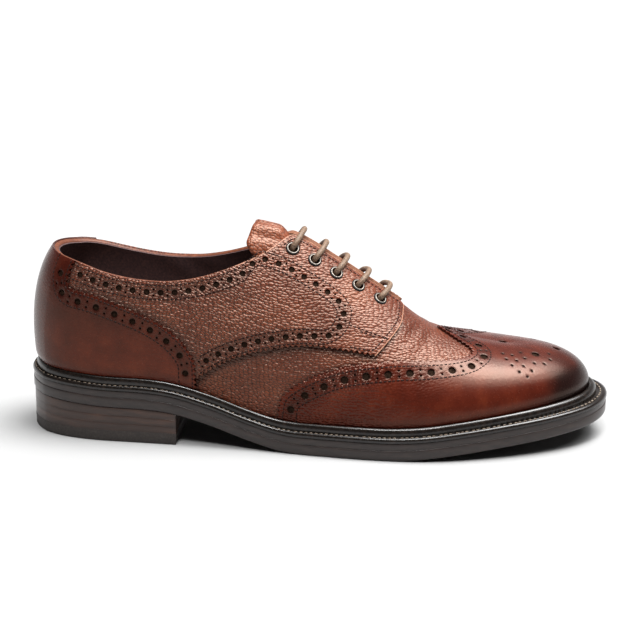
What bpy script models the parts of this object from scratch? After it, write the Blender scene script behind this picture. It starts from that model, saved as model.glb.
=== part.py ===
"""Right brogue derby: a hollow upper on a last, with its overlays, tongue, eyelets and lace bars, on a welted sole.

The shoe points along +X, its inner side is +Y and the floor is z = 0. The sizes below are in millimetres, measured
from the rear of the sole, and the meshes are in metres with the origin under the middle of the shoe.
"""

import math
from functools import lru_cache

import bmesh
import bpy
import numpy as np
from mathutils import Matrix, Vector

MM = 0.001
WELD = 0.02
SHARP_EDGE = math.radians(40)

# Feather line, where the upper meets the welt: axis is the centre's offset to the inner side
FEATHER_REAR = 4.4
FEATHER_TOE = 293.5
FEATHER = np.array(
    [
        (13.0, 0.4, 20.5),
        (35.0, 0.3, 30.3),
        (60.0, -0.7, 32.0),
        (90.0, -3.0, 32.0),
        (120.0, -5.5, 32.5),
        (150.0, -6.5, 36.0),
        (180.0, -4.5, 41.5),
        (205.0, -1.5, 45.0),
        (220.0, 0.5, 45.3),
        (240.0, 3.2, 42.8),
        (260.0, 5.0, 36.5),
        (275.0, 6.2, 28.8),
        (288.0, 6.8, 17.0),
    ],
    dtype=[("x", float), ("axis", float), ("half", float)],
)
# How far the sole stands out past the feather line
SOLE_EDGE = np.array(
    [(4.4, 5.2), (90.0, 5.2), (150.0, 6.0), (200.0, 7.0), (250.0, 8.0), (293.5, 11.0)],
    dtype=[("x", float), ("out", float)],
)
# Underside of the outsole: heel seat, arch, flat tread and toe spring
SOLE_UNDERSIDE = np.array(
    [
        (0.0, 20.6),
        (39.0, 18.6),
        (82.0, 16.2),
        (100.0, 11.4),
        (120.0, 4.8),
        (136.0, 0.9),
        (146.0, 0.0),
        (190.0, 0.0),
        (206.0, 0.9),
        (226.0, 3.2),
        (250.0, 6.0),
        (278.0, 9.0),
        (305.0, 12.2),
    ],
    dtype=[("x", float), ("z", float)],
)
# Height of the last's top line above the floor: ankle, tongue, instep, vamp and toe
TOP_LINE = np.array(
    [
        (45.0, 110.0),
        (80.0, 110.5),
        (108.0, 111.0),
        (126.0, 109.5),
        (138.0, 106.5),
        (150.0, 100.5),
        (160.0, 94.0),
        (170.0, 87.5),
        (180.0, 80.5),
        (190.0, 73.5),
        (197.0, 68.5),
        (204.0, 62.6),
        (212.0, 57.4),
        (228.0, 50.8),
        (242.0, 47.6),
        (255.0, 45.8),
    ],
    dtype=[("x", float), ("z", float)],
)
# Cross sections: bulge out past the feather line, then how full the wall and the crown are
SECTIONS = np.array(
    [
        (5.0, 5.5, 0.56, 0.86),
        (40.0, 3.0, 0.60, 0.88),
        (80.0, 2.0, 0.62, 0.86),
        (110.0, 2.0, 0.58, 0.66),
        (140.0, 2.5, 0.52, 0.42),
        (170.0, 3.5, 0.48, 0.40),
        (200.0, 4.0, 0.50, 0.46),
        (230.0, 3.5, 0.56, 0.60),
        (260.0, 3.0, 0.62, 0.68),
        (295.0, 3.0, 0.62, 0.68),
    ],
    dtype=[("x", float), ("bulge", float), ("wall", float), ("crown", float)],
)
TOE_SETBACK = 40.0
HEEL_SETBACK = 40.0
FAN_FROM = 0.58
COLUMNS = 40

# Wall and panel thicknesses
GAP = 0.3
PANEL_GAP = 0.6
QUARTER_GAP = 1.0
TONGUE_GAP = 1.5
UPPER_WALL = 2.0
PANEL = 1.2
TONGUE_WALL = 1.8

# Sole layers, from the ground up
OUTSOLE = 5.6
MIDSOLE = 3.1
MIDSOLE_INSET = 0.2
WELT = 2.4
INSOLE = 4.0
INSOLE_INSET = 3.0
HEEL_BREAST = 81.5
HEEL_INSET = 0.5
TOP_PIECE = 6.0
HEEL_LIFTS = 3
MIDSOLE_BASE = OUTSOLE + GAP
WELT_BASE = MIDSOLE_BASE + MIDSOLE + GAP
UPPER_BASE = WELT_BASE + WELT + GAP

# Storm welt's profile: out from the feather line in mm plus a share of the sole's edge, and up from its base
BEAD_TOP = WELT + 4.2
WELT_PROFILE = np.array(
    [
        (-2.4, 0.0, 0.0),
        (0.0, 1.0, 0.0),
        (0.0, 1.0, WELT - 0.4),
        (-0.4, 1.0, WELT),
        (3.7, 0.0, WELT - 0.1),
        (3.3, 0.0, WELT + 1.2),
        (2.7, 0.0, BEAD_TOP - 0.7),
        (2.0, 0.0, BEAD_TOP),
        (1.2, 0.0, BEAD_TOP - 0.5),
        (0.6, 0.0, WELT),
        (-2.4, 0.0, WELT),
    ],
    dtype=[("out", float), ("share", float), ("up", float)],
)
WELT_COLUMNS = 54

# Collar and throat
COLLAR = np.array(
    [
        (4.4, 95.5),
        (20.0, 92.5),
        (40.0, 87.8),
        (60.0, 85.2),
        (78.0, 85.0),
        (93.0, 87.0),
        (106.0, 90.5),
        (118.0, 94.8),
        (127.0, 98.5),
        (136.0, 104.0),
        (144.0, 109.0),
    ],
    dtype=[("x", float), ("z", float)],
)
THROAT_FRONT = 190.0
THROAT_HALF = 7.0
FACING_GAP_HALF = 3.2
PANEL_FOOT = 5.4

# Panel edges: height above the feather line along the shoe
COUNTER_TAB = 20.0
COUNTER_FRONT = 92.5
COUNTER_EDGE = np.array(
    [
        (20.0, 48.0),
        (32.0, 47.0),
        (43.5, 44.5),
        (54.0, 41.5),
        (67.5, 37.0),
        (78.0, 32.5),
        (86.5, 27.0),
        (92.5, 20.0),
    ],
    dtype=[("x", float), ("up", float)],
)
QUARTER_FRONT = 196.5
QUARTER_CORNER = 184.0
QUARTER_EDGE = np.array(
    [
        (93.5, 10.5),
        (101.0, 18.0),
        (113.5, 28.5),
        (124.0, 35.0),
        (144.0, 42.0),
        (159.5, 42.0),
        (170.5, 40.5),
        (184.0, 38.0),
    ],
    dtype=[("x", float), ("up", float)],
)
QUARTER_FRONT_EDGE = np.array(
    [(184.0, 38.0), (189.0, 43.0), (193.5, 47.5), (196.5, 51.0)],
    dtype=[("x", float), ("up", float)],
)
# Wing cap's rear edge: the share of the section's length from the feather line, and the station there
WING_EDGE = np.array(
    [
        (0.0, 135.5),
        (0.11, 138.5),
        (0.24, 155.0),
        (0.325, 170.0),
        (0.39, 186.0),
        (0.45, 204.0),
        (0.51, 225.0),
        (0.595, 235.5),
        (0.70, 237.0),
        (0.82, 230.5),
        (1.0, 219.0),
    ],
    dtype=[("share", float), ("x", float)],
)

# Eyelets and lace bars: distances from the throat's centre line along the surface
EYELETS = 5
EYELET_FIRST = 140.5
EYELET_STEP = 11.0
EYELET_OFFSET = 12.0
EYELET_FLANGE = 3.0
EYELET_BARREL = 2.0
EYELET_HOLE = 1.5
EYELET_RIM = 0.7
LACE_RADIUS = 1.4
LACE_LEAN = 4.5

TONGUE_FRONT = 194.0
TONGUE_TOP = 117.0
TONGUE_HALF = np.array(
    [(117.0, 18.0), (128.0, 18.0), (150.0, 16.5), (194.0, 12.0)],
    dtype=[("x", float), ("half", float)],
)

# Finishes from the photograph: linear colour, roughness and metallic
FINISHES = {
    "grained_calf": ((0.150, 0.042, 0.020), 0.45, 0.0),
    "burnished_calf": ((0.125, 0.032, 0.016), 0.30, 0.0),
    "tan_leather": ((0.180, 0.085, 0.040), 0.70, 0.0),
    "dark_welt": ((0.022, 0.014, 0.011), 0.50, 0.0),
    "sole_leather": ((0.018, 0.013, 0.011), 0.45, 0.0),
    "stacked_leather": ((0.045, 0.020, 0.013), 0.45, 0.0),
    "black_rubber": ((0.015, 0.015, 0.015), 0.65, 0.0),
    "dark_brass": ((0.200, 0.180, 0.160), 0.30, 1.0),
    "waxed_cotton": ((0.130, 0.085, 0.050), 0.75, 0.0),
}


def smooth(table, key, value, at="x"):
    """A column of the table at a value of its first column, on a smooth curve through the rows."""
    xs, ys = table[at], table[key]
    slopes = np.gradient(ys, xs)
    value = min(max(value, xs[0]), xs[-1])
    i = int(min(max(np.searchsorted(xs, value) - 1, 0), len(xs) - 2))
    span = xs[i + 1] - xs[i]
    t = (value - xs[i]) / span
    rise = ys[i + 1] - ys[i]
    bend = (1 - t) * (slopes[i] * span - rise) + t * (rise - slopes[i + 1] * span)
    return float(ys[i] + t * rise + t * (1 - t) * bend)


def station_of(x):
    """The station from 0 at the rear to 1 at the toe whose feather point lies at x."""
    share = (x - FEATHER_REAR) / (FEATHER_TOE - FEATHER_REAR)
    return math.acos(1 - 2 * min(max(share, 0.0), 1.0)) / math.pi


def x_of(station):
    return FEATHER_REAR + (FEATHER_TOE - FEATHER_REAR) * (1 - math.cos(math.pi * station)) / 2


def underside(x):
    return max(0.0, smooth(SOLE_UNDERSIDE, "z", x))


def fold(loop):
    """The loop coordinate runs 0 to 1 along the outer side and 1 to 2 back along the inner side."""
    loop = loop % 2.0
    return (loop, -1.0) if loop <= 1.0 else (2.0 - loop, 1.0)


FEATHER_ROUNDNESS = np.array(
    [(station_of(row["x"]), row["half"] / math.sin(math.pi * station_of(row["x"]))) for row in FEATHER],
    dtype=[("station", float), ("half", float)],
)


def feather(loop):
    """Plan point of the feather line."""
    station, side = fold(loop)
    x = x_of(station)
    half = smooth(FEATHER_ROUNDNESS, "half", station, at="station") * math.sin(math.pi * station)
    return np.array([x, smooth(FEATHER, "axis", x) + side * half])


def outward(loop):
    """Plan direction square to the feather line."""
    step = 0.004
    along = feather(loop + step) - feather(loop - step)
    along /= np.hypot(*along)
    return np.array([along[1], -along[0]])


def sole_point(loop, inset=0.0):
    """Plan point of the sole's outer edge, moved in by the inset."""
    point = feather(loop)
    return point + outward(loop) * (smooth(SOLE_EDGE, "out", point[0]) - inset)


def midsole_edge(loop):
    return sole_point(loop, MIDSOLE_INSET)


def heel_edge(loop):
    return sole_point(loop, HEEL_INSET)


def insole_edge(loop):
    return feather(loop) - outward(loop) * INSOLE_INSET


def fan(station):
    """How far the section's top stands behind its foot at the toe, or ahead of it at the heel."""
    share = min(max((station - FAN_FROM) / (1 - FAN_FROM), 0.0), 1.0)
    toe = TOE_SETBACK * share * share * (3 - 2 * share)
    share = min(max((1 - FAN_FROM - station) / (1 - FAN_FROM), 0.0), 1.0)
    return HEEL_SETBACK * share * share * (3 - 2 * share) - toe


@lru_cache(maxsize=None)
def section(loop):
    """A section of the last from the feather line to the top line, with the share of its length at each point."""
    station, _ = fold(loop)
    foot = feather(loop)
    out = np.append(outward(loop), 0.0)
    up = np.array([0.0, 0.0, 1.0])
    top_x = x_of(station) + fan(station)
    start = np.append(foot, underside(foot[0]) + UPPER_BASE)
    end = np.array([top_x, smooth(FEATHER, "axis", top_x), smooth(TOP_LINE, "z", top_x)])
    height = end[2] - start[2]
    reach = np.hypot(*(foot - end[:2]))
    wall = start + out * smooth(SECTIONS, "bulge", foot[0]) + up * height * smooth(SECTIONS, "wall", foot[0])
    crown = end + out * reach * smooth(SECTIONS, "crown", foot[0])
    t = np.linspace(0, 1, 49)[:, None]
    points = start * (1 - t) ** 3 + 3 * wall * t * (1 - t) ** 2 + 3 * crown * t * t * (1 - t) + end * t**3
    lengths = np.append(0.0, np.cumsum(np.linalg.norm(np.diff(points, axis=0), axis=1)))
    return points, lengths


def on_last(loop, share):
    points, lengths = section(round(loop, 6))
    return np.array([np.interp(share * lengths[-1], lengths, points[:, k]) for k in range(3)])


def normal(loop, share):
    """Unit normal of the last, pointing out. On the top line it leans to neither side."""
    step = 0.006
    low, high = max(share - 0.03, 0.0), min(share + 0.03, 1.0)
    level = min(share, 0.97)
    along = on_last(loop + step, level) - on_last(loop - step, level)
    across = on_last(loop, high) - on_last(loop, low)
    found = np.cross(along, across)
    if share > 0.999:
        found[1] = 0.0
    return found / np.linalg.norm(found)


def off_last(loop, share, lift):
    return on_last(loop, share) + normal(loop, share) * lift


def share_at_height(loop, z):
    points, lengths = section(round(loop, 6))
    return float(np.interp(z, points[:, 2], lengths / lengths[-1]))


def share_above_feather(loop, up):
    points, _ = section(round(loop, 6))
    return share_at_height(loop, points[0, 2] + up)


def share_from_top(loop, distance):
    return 1.0 - distance / section(round(loop, 6))[1][-1]


def share_from_feather(loop, distance):
    return distance / section(round(loop, 6))[1][-1]


def top_share(loop, throat_half):
    """Upper end of a section: the collar, or the throat's edge at this distance from its centre line."""
    station, _ = fold(loop)
    x = x_of(station)
    edge = share_from_top(loop, throat_half)
    if x >= COLLAR["x"][-1]:
        return edge
    return min(edge, share_at_height(loop, smooth(COLLAR, "z", x)))


def counter_share(loop):
    return share_above_feather(loop, smooth(COUNTER_EDGE, "up", x_of(fold(loop)[0])))


def quarter_share(loop):
    """Lower end of the quarter: along the counter, then its own edge, then up its front."""
    x = x_of(fold(loop)[0])
    if x < QUARTER_EDGE["x"][0]:
        return share_above_feather(loop, smooth(COUNTER_EDGE, "up", x) + 2 * GAP)
    if x <= QUARTER_CORNER:
        return share_above_feather(loop, smooth(QUARTER_EDGE, "up", x))
    return share_above_feather(loop, smooth(QUARTER_FRONT_EDGE, "up", x))


# Mesh helpers
parts = bpy.data.collections.new("brogue_derby")
cutters = bpy.data.collections.new("cutters")


def finish(name):
    color, roughness, metallic = FINISHES[name]
    material = bpy.data.materials.get(name) or bpy.data.materials.new(name)
    material.use_nodes = True
    shader = material.node_tree.nodes["Principled BSDF"]
    shader.inputs["Base Color"].default_value = (*color, 1.0)
    shader.inputs["Roughness"].default_value = roughness
    shader.inputs["Metallic"].default_value = metallic
    return material


def place(name, mesh, finish_name):
    mesh.materials.append(finish(finish_name))
    obj = bpy.data.objects.new(name, mesh)
    obj.parent = middle
    parts.objects.link(obj)
    return obj


def mapped_grid(columns, rows, point, into=None):
    """A grid whose unit coordinates are mapped to points in millimetres."""
    bm = into or bmesh.new()
    made = bmesh.ops.create_grid(bm, x_segments=columns, y_segments=rows, size=1.0)
    for vert in made["verts"]:
        vert.co = Vector(point((vert.co.x + 1) / 2, (vert.co.y + 1) / 2)) * MM
    return bm


def to_mesh(bm, name, sheet=False):
    """A closed body is turned outwards. An open sheet keeps its grid's side, which is the outer one."""
    bmesh.ops.remove_doubles(bm, verts=bm.verts, dist=WELD * MM)
    if not sheet:
        bmesh.ops.recalc_face_normals(bm, faces=bm.faces)
    mesh = bpy.data.meshes.new(name)
    bm.to_mesh(mesh)
    bm.free()
    mesh.shade_smooth()
    mesh.set_sharp_from_angle(angle=SHARP_EDGE)
    return mesh


def shell(name, bm, finish_name, thickness, side):
    """An open sheet given a wall by Solidify, on its outer side (1) or its inner side (-1)."""
    obj = place(name, to_mesh(bm, name, sheet=True), finish_name)
    wall = obj.modifiers.new("wall", "SOLIDIFY")
    wall.thickness = thickness * MM
    wall.offset = side
    wall.use_even_offset = True
    return obj


def slab(name, edge, stations, columns, low, high, finish_name):
    """A closed layer inside a plan edge, between two heights that are functions of x."""

    def base(s, t):
        station = stations[0] + (stations[1] - stations[0]) * s
        plan = edge(station) * (1 - t) + edge(2.0 - station) * t
        return (plan[0], plan[1], low(plan[0]))

    bm = mapped_grid(columns, 2, base)
    bmesh.ops.remove_doubles(bm, verts=bm.verts, dist=WELD * MM)
    raised = bmesh.ops.extrude_face_region(bm, geom=list(bm.faces))
    for item in raised["geom"]:
        if isinstance(item, bmesh.types.BMVert):
            x = item.co.x / MM
            item.co.z += (high(x) - low(x)) * MM
    return place(name, to_mesh(bm, name), finish_name)


def above_tread(height):
    """A surface at this height over the outsole's underside."""
    return lambda x: underside(x) + height


# Sole and heel
def make_sole():
    whole = (0.0, 1.0)
    slab("outsole", sole_point, whole, 36, underside, above_tread(OUTSOLE), "sole_leather")
    slab("midsole", midsole_edge, whole, 36, above_tread(MIDSOLE_BASE), above_tread(MIDSOLE_BASE + MIDSOLE),
         "sole_leather")
    slab("insole", insole_edge, whole, 30, above_tread(WELT_BASE), above_tread(WELT_BASE + INSOLE), "tan_leather")


def make_welt():
    """The profile is swept round the feather line and closed on itself."""
    rows = len(WELT_PROFILE)

    def swept(s, t):
        row = WELT_PROFILE[int(round(t * rows)) % rows]
        loop = 2.0 * s
        foot = feather(loop)
        out = row["out"] + row["share"] * smooth(SOLE_EDGE, "out", foot[0])
        plan = foot + outward(loop) * out
        return (plan[0], plan[1], underside(plan[0]) + WELT_BASE + row["up"])

    place("welt", to_mesh(mapped_grid(WELT_COLUMNS, rows, swept), "welt"), "dark_welt")


def make_heel():
    """Lifts that taper from the rear to the breast, on a level top piece."""
    stations = (0.0, station_of(HEEL_BREAST))
    base = TOP_PIECE + GAP

    def under_lift(number):
        return lambda x: base + (underside(x) - base) * number / HEEL_LIFTS

    def over_lift(number):
        return lambda x: under_lift(number + 1)(x) - GAP

    slab("heel_top_piece", heel_edge, stations, 16, lambda x: 0.0, lambda x: TOP_PIECE, "black_rubber")
    for number in range(HEEL_LIFTS):
        slab(f"heel_lift_{number + 1}", heel_edge, stations, 16, under_lift(number), over_lift(number),
             "stacked_leather")


# Upper, overlays and tongue
def columns_between(low, high):
    """The upper's own columns between two stations, with the ends added, so that an overlay bends as it does."""
    inside = [k / COLUMNS for k in range(COLUMNS + 1) if low + 0.004 < k / COLUMNS < high - 0.004]
    return np.array([low, *inside, high])


def throat_half(x):
    """The upper's slot narrows to a point at the front of the throat."""
    return THROAT_HALF * min(max((THROAT_FRONT - x) / THROAT_HALF, 0.0), 1.0)


def make_upper():
    def wall(s, t):
        loop = 2.0 * s
        return on_last(loop, top_share(loop, throat_half(x_of(fold(loop)[0]))) * t)

    shell("upper", mapped_grid(2 * COLUMNS, 9, wall), "grained_calf", UPPER_WALL, -1)


def make_wing_cap():
    """Rows run round the toe from one wing to the other, spaced evenly along the wing's edge."""
    along = np.append(0.0, np.cumsum(np.hypot(np.diff(WING_EDGE["x"]), 90 * np.diff(WING_EDGE["share"]))))
    side = columns_between(station_of(WING_EDGE["x"][0]), 1.0)
    loops = np.append(side, 2.0 - side[-2::-1])

    def cap(s, t):
        loop = loops[int(round(s * (len(loops) - 1)))]
        share = float(np.interp(t * along[-1], along, WING_EDGE["share"]))
        edge = station_of(smooth(WING_EDGE, "x", share, at="share"))
        loop = min(max(loop, edge), 2.0 - edge)
        foot = share_from_feather(loop, PANEL_FOOT)
        return off_last(loop, foot + (1 - foot) * share, PANEL_GAP)

    shell("wing_cap", mapped_grid(len(loops) - 1, 15, cap), "burnished_calf", PANEL, 1)


def make_counter():
    """A band round the heel, with a tab up the back seam to the collar."""
    tab = columns_between(0.0, station_of(COUNTER_TAB))
    side = np.append(tab, columns_between(tab[-1], station_of(COUNTER_FRONT))[1:])
    band_loops = np.append(-side[:0:-1], side)
    tab_loops = np.append(-tab[:0:-1], tab)

    def band(s, t):
        loop = band_loops[int(round(s * (len(band_loops) - 1)))]
        foot = share_from_feather(loop, PANEL_FOOT)
        return off_last(loop, foot + (counter_share(loop) - foot) * t, PANEL_GAP)

    def strip(s, t):
        loop = tab_loops[int(round(s * (len(tab_loops) - 1)))]
        low = counter_share(loop)
        return off_last(loop, low + (top_share(loop, FACING_GAP_HALF) - low) * t, PANEL_GAP)

    bm = mapped_grid(len(band_loops) - 1, 5, band)
    shell("counter", mapped_grid(len(tab_loops) - 1, 2, strip, into=bm), "burnished_calf", PANEL, 1)


def make_quarter(name, inner):
    side = columns_between(station_of(COUNTER_TAB + 2.5), station_of(QUARTER_FRONT))
    rear_foot = QUARTER_EDGE["x"][0]
    side = np.sort(np.append(side, [station_of(rear_foot - GAP), station_of(rear_foot)]))
    loops = 2.0 - side[::-1] if inner else side

    def panel(s, t):
        loop = loops[int(round(s * (len(loops) - 1)))]
        low = max(quarter_share(loop), share_from_feather(loop, PANEL_FOOT))
        high = top_share(loop, FACING_GAP_HALF)
        return off_last(loop, low + (high - low) * t, QUARTER_GAP)

    quarter = shell(name, mapped_grid(len(loops) - 1, 8, panel), "grained_calf", PANEL, 1)
    for number in range(EYELETS):
        hole = eyelet_cutter(f"{name}_hole_{number + 1}", number, inner)
        cut = quarter.modifiers.new(hole.name, "BOOLEAN")
        cut.object = hole


def make_tongue():
    def sheet(s, t):
        x = TONGUE_TOP + (TONGUE_FRONT - TONGUE_TOP) * s
        across = (2 * t - 1) * smooth(TONGUE_HALF, "half", x)
        station = station_of(x)
        loop = station if across <= 0 else 2.0 - station
        return off_last(loop, share_from_top(loop, abs(across)), -UPPER_WALL - TONGUE_GAP)

    shell("tongue", mapped_grid(12, 6, sheet), "grained_calf", TONGUE_WALL, -1)


# Eyelets and laces
def eyelet_frame(number, inner, lift):
    """Place and direction of an eyelet on the facing, lifted off the last."""
    station = station_of(EYELET_FIRST + EYELET_STEP * number)
    loop = 2.0 - station if inner else station
    share = share_from_top(loop, EYELET_OFFSET)
    turn = Vector(normal(loop, share)).to_track_quat("Z", "Y").to_matrix().to_4x4()
    return Matrix.Translation(Vector(off_last(loop, share, lift)) * MM) @ turn


def eyelet_cutter(name, number, inner):
    bm = bmesh.new()
    bmesh.ops.create_cone(bm, cap_ends=True, segments=12, radius1=(EYELET_BARREL + GAP) * MM,
                          radius2=(EYELET_BARREL + GAP) * MM, depth=4 * PANEL * MM)
    cutter = bpy.data.objects.new(name, to_mesh(bm, name))
    cutter.matrix_world = eyelet_frame(number, inner, QUARTER_GAP + PANEL / 2)
    cutter.hide_render = True
    cutter.display_type = "WIRE"
    cutters.objects.link(cutter)
    cutter.parent = middle
    return cutter


def eyelet_mesh():
    """A rolled rim over a short barrel, turned about its own axis."""
    profile = [
        (EYELET_HOLE, EYELET_RIM - 0.1),
        (EYELET_BARREL + 0.2, EYELET_RIM),
        (EYELET_FLANGE, GAP),
        (EYELET_BARREL, GAP),
        (EYELET_BARREL, -PANEL + 0.2),
        (EYELET_HOLE, -PANEL + 0.2),
    ]
    bm = bmesh.new()
    verts = [bm.verts.new((radius * MM, 0.0, height * MM)) for radius, height in profile]
    ring = [bm.edges.new((a, b)) for a, b in zip(verts, verts[1:] + verts[:1])]
    bmesh.ops.spin(bm, geom=verts + ring, axis=(0, 0, 1), cent=(0, 0, 0), steps=8, angle=2 * math.pi)
    return to_mesh(bm, "eyelet")


def make_eyelets():
    for inner in (False, True):
        for number in range(EYELETS):
            side = "inner" if inner else "outer"
            eyelet = place(f"eyelet_{side}_{number + 1}", eyelet_mesh(), "dark_brass")
            eyelet.matrix_local = eyelet_frame(number, inner, QUARTER_GAP + PANEL)


def make_lace_bars():
    """Five straight bars, each over the throat from one eyelet to its partner."""
    clear = QUARTER_GAP + PANEL + EYELET_RIM + GAP + LACE_RADIUS
    for number in range(EYELETS):
        x = EYELET_FIRST + EYELET_STEP * number
        route = []
        for across in np.linspace(-1, 1, 9):
            station = station_of(x + LACE_LEAN * (1 - abs(across)))
            loop = station if across <= 0 else 2.0 - station
            share = share_from_top(loop, EYELET_OFFSET * abs(across))
            route.append(off_last(loop, share, clear))
        name = f"lace_bar_{number + 1}"
        curve = bpy.data.curves.new(name, "CURVE")
        curve.dimensions = "3D"
        curve.bevel_depth = LACE_RADIUS * MM
        curve.bevel_resolution = 1
        curve.use_fill_caps = True
        spline = curve.splines.new("POLY")
        spline.points.add(len(route) - 1)
        for point, place_mm in zip(spline.points, route):
            point.co = (*(place_mm * MM), 1.0)
        place(name, curve, "waxed_cotton")


for old in list(bpy.data.objects):
    bpy.data.objects.remove(old, do_unlink=True)
bpy.context.scene.collection.children.link(parts)
bpy.context.scene.collection.children.link(cutters)

# The shoe's own empty puts the middle of the sole's box at the origin
edge = np.array([sole_point(loop) for loop in np.linspace(0.0, 2.0, 721)])
centre = (edge.min(axis=0) + edge.max(axis=0)) / 2
middle = bpy.data.objects.new("middle_of_the_shoe", None)
middle.location = (-centre[0] * MM, -centre[1] * MM, 0.0)
parts.objects.link(middle)

make_sole()
make_welt()
make_heel()
make_upper()
make_wing_cap()
make_counter()
make_quarter("quarter_outer", False)
make_quarter("quarter_inner", True)
make_tongue()
make_eyelets()
make_lace_bars()
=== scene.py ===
"""Looks of the right brogue derby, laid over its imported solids.

Every leather piece is cut flat, pinked and punched, then laid on the last that the solids were shaped on.
Sizes are in millimetres in the shoe's own frame: x from the rear of the sole to the toe, y to the inner
side, z up from the floor.
"""

import math

import bpy
import numpy as np
from mathutils import Matrix, Vector
from mathutils.geometry import delaunay_2d_cdt
from mathutils.kdtree import KDTree


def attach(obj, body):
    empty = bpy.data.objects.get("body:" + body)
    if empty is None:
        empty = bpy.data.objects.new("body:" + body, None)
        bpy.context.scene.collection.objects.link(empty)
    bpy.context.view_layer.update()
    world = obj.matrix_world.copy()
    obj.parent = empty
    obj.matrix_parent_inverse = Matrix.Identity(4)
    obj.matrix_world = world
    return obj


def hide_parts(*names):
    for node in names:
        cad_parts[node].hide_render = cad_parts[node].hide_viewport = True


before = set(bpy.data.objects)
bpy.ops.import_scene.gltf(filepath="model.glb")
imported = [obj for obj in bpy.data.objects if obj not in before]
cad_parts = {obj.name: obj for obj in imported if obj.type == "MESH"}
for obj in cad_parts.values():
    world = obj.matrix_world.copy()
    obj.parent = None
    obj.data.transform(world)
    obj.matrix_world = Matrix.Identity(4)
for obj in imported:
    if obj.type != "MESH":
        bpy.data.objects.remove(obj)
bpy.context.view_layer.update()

MM = 0.001


def table(names, *rows):
    return np.array(list(rows), dtype=[(name, float) for name in names.split()])


# The last, as the solids have it
FEATHER_REAR = 4.4
FEATHER_TOE = 293.5
FEATHER = table(
    "x axis half",
    (13.0, 0.4, 20.5),
    (35.0, 0.3, 30.3),
    (60.0, -0.7, 32.0),
    (90.0, -3.0, 32.0),
    (120.0, -5.5, 32.5),
    (150.0, -6.5, 36.0),
    (180.0, -4.5, 41.5),
    (205.0, -1.5, 45.0),
    (220.0, 0.5, 45.3),
    (240.0, 3.2, 42.8),
    (260.0, 5.0, 36.5),
    (275.0, 6.2, 28.8),
    (288.0, 6.8, 17.0),
)
SOLE_EDGE = table("x out", (4.4, 5.2), (90.0, 5.2), (150.0, 6.0), (200.0, 7.0), (250.0, 8.0), (293.5, 11.0))
SOLE_UNDERSIDE = table(
    "x z",
    (0.0, 20.6),
    (39.0, 18.6),
    (82.0, 16.2),
    (100.0, 11.4),
    (120.0, 4.8),
    (136.0, 0.9),
    (146.0, 0.0),
    (190.0, 0.0),
    (206.0, 0.9),
    (226.0, 3.2),
    (250.0, 6.0),
    (278.0, 9.0),
    (305.0, 12.2),
)
TOP_LINE = table(
    "x z",
    (45.0, 110.0),
    (80.0, 110.5),
    (108.0, 111.0),
    (126.0, 109.5),
    (138.0, 106.5),
    (150.0, 100.5),
    (160.0, 94.0),
    (170.0, 87.5),
    (180.0, 80.5),
    (190.0, 73.5),
    (197.0, 68.5),
    (204.0, 62.6),
    (212.0, 57.4),
    (228.0, 50.8),
    (242.0, 47.6),
    (255.0, 45.8),
)
SECTIONS = table(
    "x bulge wall crown",
    (5.0, 5.5, 0.56, 0.86),
    (40.0, 3.0, 0.60, 0.88),
    (80.0, 2.0, 0.62, 0.86),
    (110.0, 2.0, 0.58, 0.66),
    (140.0, 2.5, 0.52, 0.42),
    (170.0, 3.5, 0.48, 0.40),
    (200.0, 4.0, 0.50, 0.46),
    (230.0, 3.5, 0.56, 0.60),
    (260.0, 3.0, 0.62, 0.68),
    (295.0, 3.0, 0.62, 0.68),
)
TOE_SETBACK = 40.0
HEEL_SETBACK = 40.0
FAN_FROM = 0.58

# Sole layers, from the ground up
OUTSOLE = 5.6
MIDSOLE_BASE = 5.9
MIDSOLE = 3.1
MIDSOLE_INSET = 0.2
MIDSOLE_OVER = 0.25
WELT_BASE = 9.3
WELT = 2.4
UPPER_BASE = 12.0
HEEL_BREAST = 81.5
HEEL_INSET = 0.5
TOP_PIECE = 6.0
HEEL_LIFTS = 3

# Collar, throat and panel edges
COLLAR = table(
    "x z",
    (4.4, 95.5),
    (20.0, 92.5),
    (40.0, 87.8),
    (60.0, 85.2),
    (78.0, 85.0),
    (93.0, 87.0),
    (106.0, 90.5),
    (118.0, 94.8),
    (127.0, 98.5),
    (136.0, 104.0),
    (144.0, 109.0),
)
THROAT_FRONT = 190.0
THROAT_HALF = 7.0
FACING_GAP_HALF = 3.2
COUNTER_TAB = 20.0
COUNTER_FRONT = 92.5
COUNTER_EDGE = table(
    "x up",
    (20.0, 48.0),
    (32.0, 47.0),
    (43.5, 44.5),
    (54.0, 41.5),
    (67.5, 37.0),
    (78.0, 32.5),
    (86.5, 27.0),
    (92.5, 20.0),
)
QUARTER_FRONT = 196.5
QUARTER_CORNER = 184.0
QUARTER_EDGE = table(
    "x up",
    (93.5, 10.5),
    (101.0, 18.0),
    (113.5, 28.5),
    (124.0, 35.0),
    (144.0, 42.0),
    (159.5, 42.0),
    (170.5, 40.5),
    (184.0, 38.0),
)
QUARTER_FRONT_EDGE = table("x up", (184.0, 38.0), (189.0, 43.0), (193.5, 47.5), (196.5, 51.0))
WING_EDGE = table(
    "share x",
    (0.0, 135.5),
    (0.11, 138.5),
    (0.24, 155.0),
    (0.325, 170.0),
    (0.39, 186.0),
    (0.45, 204.0),
    (0.51, 225.0),
    (0.595, 235.5),
    (0.70, 237.0),
    (0.82, 230.5),
    (1.0, 219.0),
)
PANEL_FOOT = 5.4

# Punch row of the quarter: where it leaves the collar and meets the hem, and between them its distance from
# the throat's centre line
COLLAR_ROW_FRONT = 115.0
HEM_ROW_FRONT = 160.0
FACING_ROW = table(
    "x down",
    (124.0, 22.8),
    (131.0, 22.6),
    (138.0, 22.8),
    (147.0, 23.7),
    (159.0, 24.7),
    (165.0, 26.0),
    (168.2, 30.0),
    (167.1, 37.0),
    (163.7, 44.0),
)

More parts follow.
